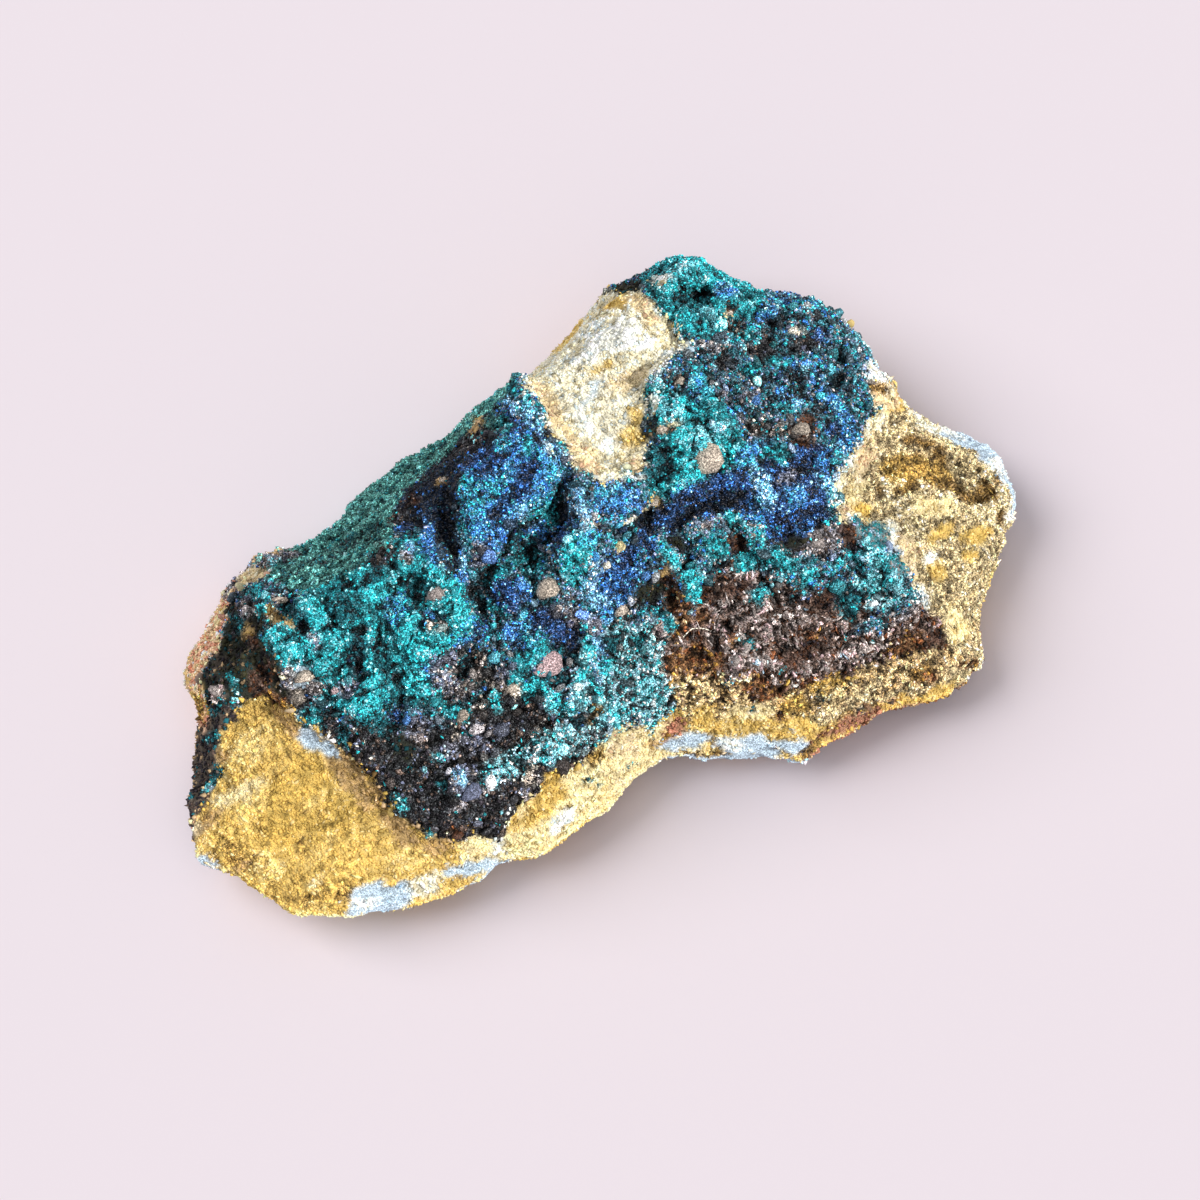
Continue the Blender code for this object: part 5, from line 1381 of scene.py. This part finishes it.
def scatter(rock, kind, spacing, chance):
    """Random places on the rock for one kind of grain, with what the rock is like there."""
    mesh = rock.data
    mesh.calc_loop_triangles()
    corners = column(mesh.loop_triangles, "vertices", 3, np.int32)
    points = column(mesh.vertices, "co", 3) / MM
    outward = column(mesh.vertex_normals, "vector", 3)
    codes = column(mesh.attributes["finish"].data, "value", 1, np.int32)[:, 0]
    hollow = column(mesh.attributes["hollow"].data, "value", 1)[:, 0]
    cover = np.array([cover_by(kind, finish) for finish in FINISHES.values()])[codes]
    cover[(points[:, 2] < GRAIN_FLOOR) | (outward[:, 2] < GRAIN_OVERHANG)] = 0
    a, b, c = points[corners].transpose(1, 0, 2)
    area = np.linalg.norm(np.cross(b - a, c - a), axis=1) / 2
    weight = area * cover[corners].max(axis=1)
    number = int(PLACES_A_SQUARE * weight.sum() / spacing ** 2)
    chosen = chance.choice(len(weight), number, p=weight / weight.sum())
    parts = chance.dirichlet((1, 1, 1), number)
    places = (points[corners[chosen]] * parts[..., None]).sum(axis=1)
    nearest = corners[chosen, parts.argmax(axis=1)]
    for shift in (0.0, 0.5):
        cells = np.floor(places / spacing + shift).astype(np.int64)
        first = np.sort(np.unique(cells, axis=0, return_index=True)[1])
        places, nearest = places[first], nearest[first]
    kept = chance.random(len(places)) < cover[nearest]
    places, nearest = places[kept], nearest[kept]
    on_side = column(mesh.attributes["side"].data, "value", 1, np.int32)[nearest, 0] > 0
    codes = finish_codes(places + STRAY * chance.normal(size=places.shape), on_side)
    grounds = column(mesh.attributes["ground"].data, "vector", 3)
    return places, outward[nearest], codes, hollow[nearest], grounds[nearest]


def tones_for(codes, height):
    """A mineral colour for each grain by its finish's shares, dark ones low and pale ones high:
    partly painted shade and highlight.
    """
    tones = np.zeros((len(codes), 3))
    for code in np.unique(codes):
        shades = [(share, colour(name) * brightness) for name, brightness, share in
                  FINISHES[NAMES[code]].tones]
        shades.sort(key=lambda pair: pair[1].sum())
        these = np.flatnonzero(codes == code)
        rank = height[these].argsort().argsort() / len(these)
        limits = np.cumsum([share for share, _ in shades])
        picks = np.searchsorted(limits / limits[-1], rank, side="right").clip(0, len(shades) - 1)
        tones[these] = np.array([shade for _, shade in shades])[picks]
    return tones


def joined_grains(shape, places, turns, sizes, chance):
    """All the grains as one mesh, each a little out of shape, with its cell in a map for baking."""
    vertices, triangles = shape
    number = len(places)
    uneven = 0.2 if len(vertices) < 20 else 0.03
    bulges = 1 + uneven * chance.normal(size=(number, len(vertices), 1))
    bent = vertices[None] * sizes[:, None] * bulges
    corners = np.einsum("nij,nvj->nvi", turns, bent) + places[:, None]
    corners[..., 2] = np.maximum(corners[..., 2], SEAT_GAP)
    faces = triangles[None] + (np.arange(number) * len(vertices))[:, None, None]
    mesh = bpy.data.meshes.new("grains")
    mesh.vertices.add(number * len(vertices))
    mesh.vertices.foreach_set("co", (corners * MM).astype(np.float32).ravel())
    mesh.loops.add(faces.size)
    mesh.loops.foreach_set("vertex_index", faces.astype(np.int32).ravel())
    mesh.polygons.add(number * len(triangles))
    mesh.polygons.foreach_set("loop_start", np.arange(0, faces.size, 3, dtype=np.int32))
    mesh.update(calc_edges=True)
    across = int(np.ceil(np.sqrt(number)))
    cells = np.column_stack(np.divmod(np.arange(number), across))
    laid = (cells[:, None, None] + np.array(BAKING_TRIANGLE)) / across
    laid = np.broadcast_to(laid, (number, len(triangles), 3, 2))
    mesh.uv_layers.new(name="OFBake").uv.foreach_set("vector", laid.astype(np.float32).ravel())
    return mesh


def grain_tones(kind_name, places, codes, hollow, grounds, chance):
    """The colour of each grain: its mineral's, mixed by height and chance, with painted shade and
    highlight, and speckled.
    """
    kind = KINDS[kind_name]
    mottle = layered(places, SAND_MOTTLE if kind_name == "sand" else CRUST_MOTTLE)
    height = kind.sorting * hollow + mottle + HEIGHT_CHANCE * chance.normal(size=len(places))
    tones = grounds + (tones_for(codes, height) - grounds) * kind.contrast
    spread = SPECKLE * GRAININESS[codes]
    speckle = np.exp(spread * chance.normal(size=len(places)) - 0.5 * spread ** 2)
    # Painted shade in the hollows and painted highlight on the ridges go into each grain's colour.
    return mottled_with_painted_shade(tones, places, hollow, codes) * speckle.clip(DIMMEST, LIGHTEST)[:, None]


def set_grains(kind_name):
    """Sets one kind of grain on the rock, in as many pieces as its faces need."""
    rock = bpy.data.objects.get("rock")
    if rock is None:
        raise RuntimeError("The rock has to be made before its grains")
    kind = KINDS[kind_name]
    chance = np.random.default_rng(kind.seed)
    spacing = getattr(settings(), kind.spacing) / MM
    places, outward, codes, hollow, grounds = scatter(rock, kind_name, spacing, chance)
    number = len(places)
    tones = grain_tones(kind_name, places, codes, hollow, grounds, chance)
    sizes = spacing * chance.uniform(*kind.width, (number, 3))
    sizes *= np.where(chance.random(number) < LARGE_SHARE, LARGE_SIZE, 1.0)[:, None]
    sizes[:, 2] *= kind.stretch
    if kind_name == "azurite":
        turns = turns_towards(chance, outward, CRYSTAL_LEAN)
    else:
        along = np.cross(outward, chance.normal(size=outward.shape))
        turns = turns_towards(chance, along, GRAIN_LEAN)
    places = places + outward * spacing * chance.uniform(*SINKING, (number, 1))
    roughness = chance.uniform(*kind.roughness, number)
    shape = grain_shape(kind_name)
    material = grain_material(kind.piece, kind.gloss)
    order = np.argsort(places[:, 0], kind="stable")
    pieces = -(-number * len(shape[1]) // TRIANGLES_A_PIECE)
    for i, part in enumerate(np.array_split(order, pieces)):
        mesh = joined_grains(shape, places[part], turns[part], sizes[part], chance)
        each = np.repeat(part, len(shape[0]))
        keep_looks(mesh, tones[each], roughness[each], codes[each])
        name = kind.piece if pieces == 1 else f"{kind.piece}_{i + 1}"
        add_piece(name, mesh, material)
    print(kind.piece, number, "grains", number * len(shape[1]), "triangles in", pieces)


class SPECIMEN_OT_sand(bpy.types.Operator):
    """Sets the sand grains of the bare sandstone"""

    bl_idname = "specimen.sand"
    bl_label = "Sand grains"

    def execute(self, context):
        set_grains("sand")
        return {"FINISHED"}


class SPECIMEN_OT_malachite(bpy.types.Operator):
    """Sets the velvety grains of malachite"""

    bl_idname = "specimen.malachite"
    bl_label = "Malachite"

    def execute(self, context):
        set_grains("malachite")
        return {"FINISHED"}


class SPECIMEN_OT_azurite(bpy.types.Operator):
    """Sets the small crystals of azurite"""

    bl_idname = "specimen.azurite"
    bl_label = "Azurite crystals"

    def execute(self, context):
        set_grains("azurite")
        return {"FINISHED"}


class SPECIMEN_OT_oxides(bpy.types.Operator):
    """Sets the crumbs of black and violet oxide and the brown flakes"""

    bl_idname = "specimen.oxides"
    bl_label = "Oxide crumbs and flakes"

    def execute(self, context):
        set_grains("crumb")
        set_grains("flake")
        set_grains("fragment")
        return {"FINISHED"}


def sun(name, lit, strength, tint, width, towards):
    """A sun with a disc of a width in degrees that shines one way, on some objects alone."""
    lamp = bpy.data.lights.new(name, "SUN")
    lamp.color = tint
    lamp.energy = strength
    lamp.angle = np.radians(width)
    holder = bpy.data.objects.new(name, lamp)
    holder.rotation_euler = Vector(towards).to_track_quat("-Z", "Y").to_euler()
    bpy.context.scene.collection.objects.link(holder)
    receivers = bpy.data.collections.new(name + "_lights")
    for piece in lit:
        receivers.objects.link(piece)
    holder.light_linking.receiver_collection = receivers


# Single grains that stand out: x, y, three widths, turn in degrees, colour and brightness.
STONES = [
    (-5.9, -6.2, 3.3, 2.3, 2.0, 5, "rose", 1.0), (14.9, 2.8, 3.8, 2.9, 1.7, 10, "beige", 1.05),
    (2.65, -1.25, 0.95, 0.9, 0.8, 0, "bone", 0.95), (4.4, -0.4, 1.3, 1.1, 0.8, 30, "straw", 0.6),
    (-3.0, -0.8, 2.2, 1.9, 1.4, 20, "beige", 0.95), (24.2, 1.7, 1.9, 1.7, 1.0, 0, "beige", 0.75),
    (28.4, 10.6, 1.0, 0.9, 0.7, 0, "bone", 0.75), (-12.1, 3.0, 1.6, 1.3, 0.9, 0, "mauve", 1.0),
    (-6.4, 13.2, 0.8, 0.7, 0.5, 0, "beige", 1.0), (-24.4, 10.4, 1.6, 0.6, 0.5, -30, "beige", 1.1),
    (-33.2, 6.1, 1.6, 1.0, 0.8, -40, "mauve", 1.0), (-17.2, -12.9, 2.3, 1.5, 1.1, 15, "lilac", 0.8),
    (-9.8, -6.7, 1.2, 0.9, 0.7, 0, "beige", 0.9), (10.4, -13.3, 1.9, 1.0, 0.7, 60, "mauve", 1.1),
    (9.0, -14.0, 1.4, 0.8, 0.6, 30, "mauve", 1.0), (23.9, 14.7, 0.8, 0.6, 0.5, 0, "beige", 1.1),
    (12.7, 6.9, 1.1, 0.9, 0.6, 0, "beige", 1.1), (20.6, -8.0, 1.6, 1.1, 0.8, 0, "mauve", 0.75),
    (2.1, -5.2, 1.5, 1.0, 0.7, 20, "beige", 1.0), (-25.6, 3.0, 2.0, 1.5, 0.9, 10, "beige", 1.15),
    (-23.9, 0.6, 1.0, 0.7, 0.5, 20, "rose", 1.0), (8.9, 1.7, 1.3, 0.8, 0.6, -20, "beige", 0.9),
    (16.3, 10.3, 1.1, 0.9, 0.6, 0, "beige", 0.8), (-14.8, -6.6, 1.5, 1.1, 0.8, 25, "beige", 0.7),
]
STONE_TILT = 0.25  # how far they tilt, in radians
STONE_RISE = 0.12  # how far their middles lie over the rock, beside their third width
STONE_ROUGHNESS = 0.6
# A pale fibre that lies on the brown flakes: x and y of its bends, and the bits that it is made of.
FIBRE = [(5.9, -9.85), (6.4, -9.65), (6.9, -9.6), (7.4, -9.75), (7.9, -10.05), (8.3, -10.4)]
FIBRE_BITS = 26
FIBRE_BIT = (0.24, 0.1, 0.1)
FIBRE_RISE = 0.12


class SPECIMEN_OT_stones(bpy.types.Operator):
    """Sets the single grains and the fibre that stand out from the crust"""

    bl_idname = "specimen.stones"
    bl_label = "Single grains"

    def execute(self, context):
        rock = bpy.data.objects["rock"]
        chance = np.random.default_rng(17)
        plan = np.array([stone[:2] for stone in STONES], float)
        sizes = np.array([stone[2:5] for stone in STONES], float)
        bearings = np.radians([stone[5] for stone in STONES])
        tones = np.array([colour(stone[6]) * stone[7] for stone in STONES])
        line = np.array(FIBRE)
        steps = np.linspace(0, len(line) - 1, FIBRE_BITS)
        knots = np.arange(len(line))
        bends = np.column_stack([np.interp(steps, knots, line[:, i]) for i in range(2)])
        ways = np.gradient(bends, axis=0)
        plan = np.vstack([plan, bends])
        sizes = np.vstack([sizes, np.tile(FIBRE_BIT, (FIBRE_BITS, 1))])
        bearings = np.r_[bearings, np.arctan2(ways[:, 1], ways[:, 0])]
        tones = np.vstack([tones, np.tile(colour("bone"), (FIBRE_BITS, 1))])
        is_stone = np.arange(len(plan)) < len(STONES)
        turns = []
        for bearing, tilt in zip(bearings, np.where(is_stone, STONE_TILT, 0.0)):
            over = Matrix.Rotation(tilt * chance.normal(), 3, "X")
            across = Matrix.Rotation(tilt * chance.normal(), 3, "Y")
            lean = over @ across
            turns.append(np.array(Matrix.Rotation(bearing, 3, "Z") @ lean))
        tops = tops_at(rock.data, plan)
        if not np.isfinite(tops).all():
            raise RuntimeError("A single grain lies off the rock")
        heights = tops + np.where(is_stone, STONE_RISE * sizes[:, 2], FIBRE_RISE)
        places = np.column_stack([plan, heights])
        shape = grain_shape("fragment")
        mesh = joined_grains(shape, places, np.array(turns), sizes, chance)
        each = np.repeat(np.arange(len(plan)), len(shape[0]))
        codes = np.full(len(each), NAMES.index("tan_sand"))
        keep_looks(mesh, tones[each], np.full(len(each), STONE_ROUGHNESS), codes)
        add_piece("single_grains", mesh, grain_material("single_grains", KINDS["fragment"].gloss))
        return {"FINISHED"}


# The stage: colours, and lengths in metres and millimetres of lens.
PAPER = "#F0E5EB"
FLOOR_SIZE = 1.5
SKY = (0.97, 0.97, 1.0)
CAMERA_PLACE = (-0.02801614, -0.05770741, 0.26166335)
CAMERA_AZIMUTH, CAMERA_HEIGHT = -28, 76  # degrees
LENS, SENSOR = 85, 36
NEAREST = 0.01


def make_floor():
    """The pale paper that the specimen lies on."""
    plane = bmesh.new()
    bmesh.ops.create_grid(plane, x_segments=8, y_segments=8, size=FLOOR_SIZE)
    mesh = bpy.data.meshes.new("floor")
    plane.to_mesh(mesh)
    plane.free()
    floor = bpy.data.objects.new("floor", mesh)
    bpy.context.scene.collection.objects.link(floor)
    floor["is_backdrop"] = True
    recipe = Recipe("pale_paper")
    shader = recipe.add("ShaderNodeBsdfDiffuse", {}, {"Color": (*linear(PAPER), 1)})
    recipe.add("ShaderNodeOutputMaterial", {}, {"Surface": shader})
    mesh.materials.append(recipe.material)
    return floor


def make_lights(floor):
    """Suns for the stone and for the floor, and an even sky."""
    stone = [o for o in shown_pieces() if o.type == "MESH"]
    sun("key_light", stone, settings().key_light, tint=(1.0, 0.985, 0.95), width=4,
        towards=(-0.48, 0.5, -0.74))
    sun("fill_light", stone, settings().fill_light, tint=(0.97, 0.98, 1.0), width=70,
        towards=(0.3, -0.6, -0.74))
    sun("floor_light", [floor], 2.23, tint=(1, 1, 1), width=45, towards=(0.48, -0.49, -0.66))
    sun("floor_overhead", [floor], 0.42, tint=(1, 1, 1), width=60, towards=(0, 0, -1))
    world = bpy.data.worlds.new("soft_sky")
    bpy.context.scene.world = world
    world.use_nodes = True
    sky = world.node_tree.nodes["Background"]
    sky.inputs["Color"].default_value = (*SKY, 1)
    sky.inputs["Strength"].default_value = settings().sky_light


def make_camera():
    """The camera, nearly overhead."""
    lens = bpy.data.cameras.new("camera")
    lens.lens = LENS
    lens.sensor_width = SENSOR
    lens.clip_start = NEAREST
    camera = bpy.data.objects.new("camera", lens)
    camera.location = CAMERA_PLACE
    azimuth, height = np.radians((CAMERA_AZIMUTH, CAMERA_HEIGHT))
    back = Vector((np.sin(azimuth) * np.cos(height), -np.cos(azimuth) * np.cos(height),
                   np.sin(height)))
    camera.rotation_euler = (-back).to_track_quat("-Z", "Y").to_euler()
    bpy.context.scene.collection.objects.link(camera)
    bpy.context.scene.camera = camera


class SPECIMEN_OT_stage(bpy.types.Operator):
    """Makes the floor, the lights and the camera"""

    bl_idname = "specimen.stage"
    bl_label = "Stage"

    def execute(self, context):
        make_lights(make_floor())
        make_camera()
        context.scene.view_settings.view_transform = "Standard"
        return {"FINISHED"}


class SPECIMEN_PT_panel(bpy.types.Panel):
    """Lists the steps and the settings"""

    bl_idname = "SPECIMEN_PT_panel"
    bl_label = "Azurite malachite specimen"
    bl_space_type = "VIEW_3D"
    bl_region_type = "UI"
    bl_category = "Specimen"

    def draw(self, context):
        for group in (context.scene.specimen_sizes, context.scene.specimen_colours):
            for name in group.__annotations__:
                self.layout.prop(group, name)
        for step in STEPS:
            self.layout.operator(step.bl_idname)


STEPS = (SPECIMEN_OT_rock, SPECIMEN_OT_sand, SPECIMEN_OT_malachite, SPECIMEN_OT_azurite,
         SPECIMEN_OT_oxides, SPECIMEN_OT_stones, SPECIMEN_OT_stage)
CLASSES = (SpecimenColours, SpecimenSizes, *STEPS, SPECIMEN_PT_panel)


def register():
    for kind in CLASSES:
        bpy.utils.register_class(kind)
    bpy.types.Scene.specimen_colours = bpy.props.PointerProperty(type=SpecimenColours)
    bpy.types.Scene.specimen_sizes = bpy.props.PointerProperty(type=SpecimenSizes)


def unregister():
    del bpy.types.Scene.specimen_sizes
    del bpy.types.Scene.specimen_colours
    for kind in reversed(CLASSES):
        bpy.utils.unregister_class(kind)


def main():
    """Makes the whole specimen and its stage."""
    register()
    bpy.ops.specimen.rock()
    bpy.ops.specimen.sand()
    bpy.ops.specimen.malachite()
    bpy.ops.specimen.azurite()
    bpy.ops.specimen.oxides()
    bpy.ops.specimen.stones()
    bpy.ops.specimen.stage()


if __name__ == "__main__":
    main()
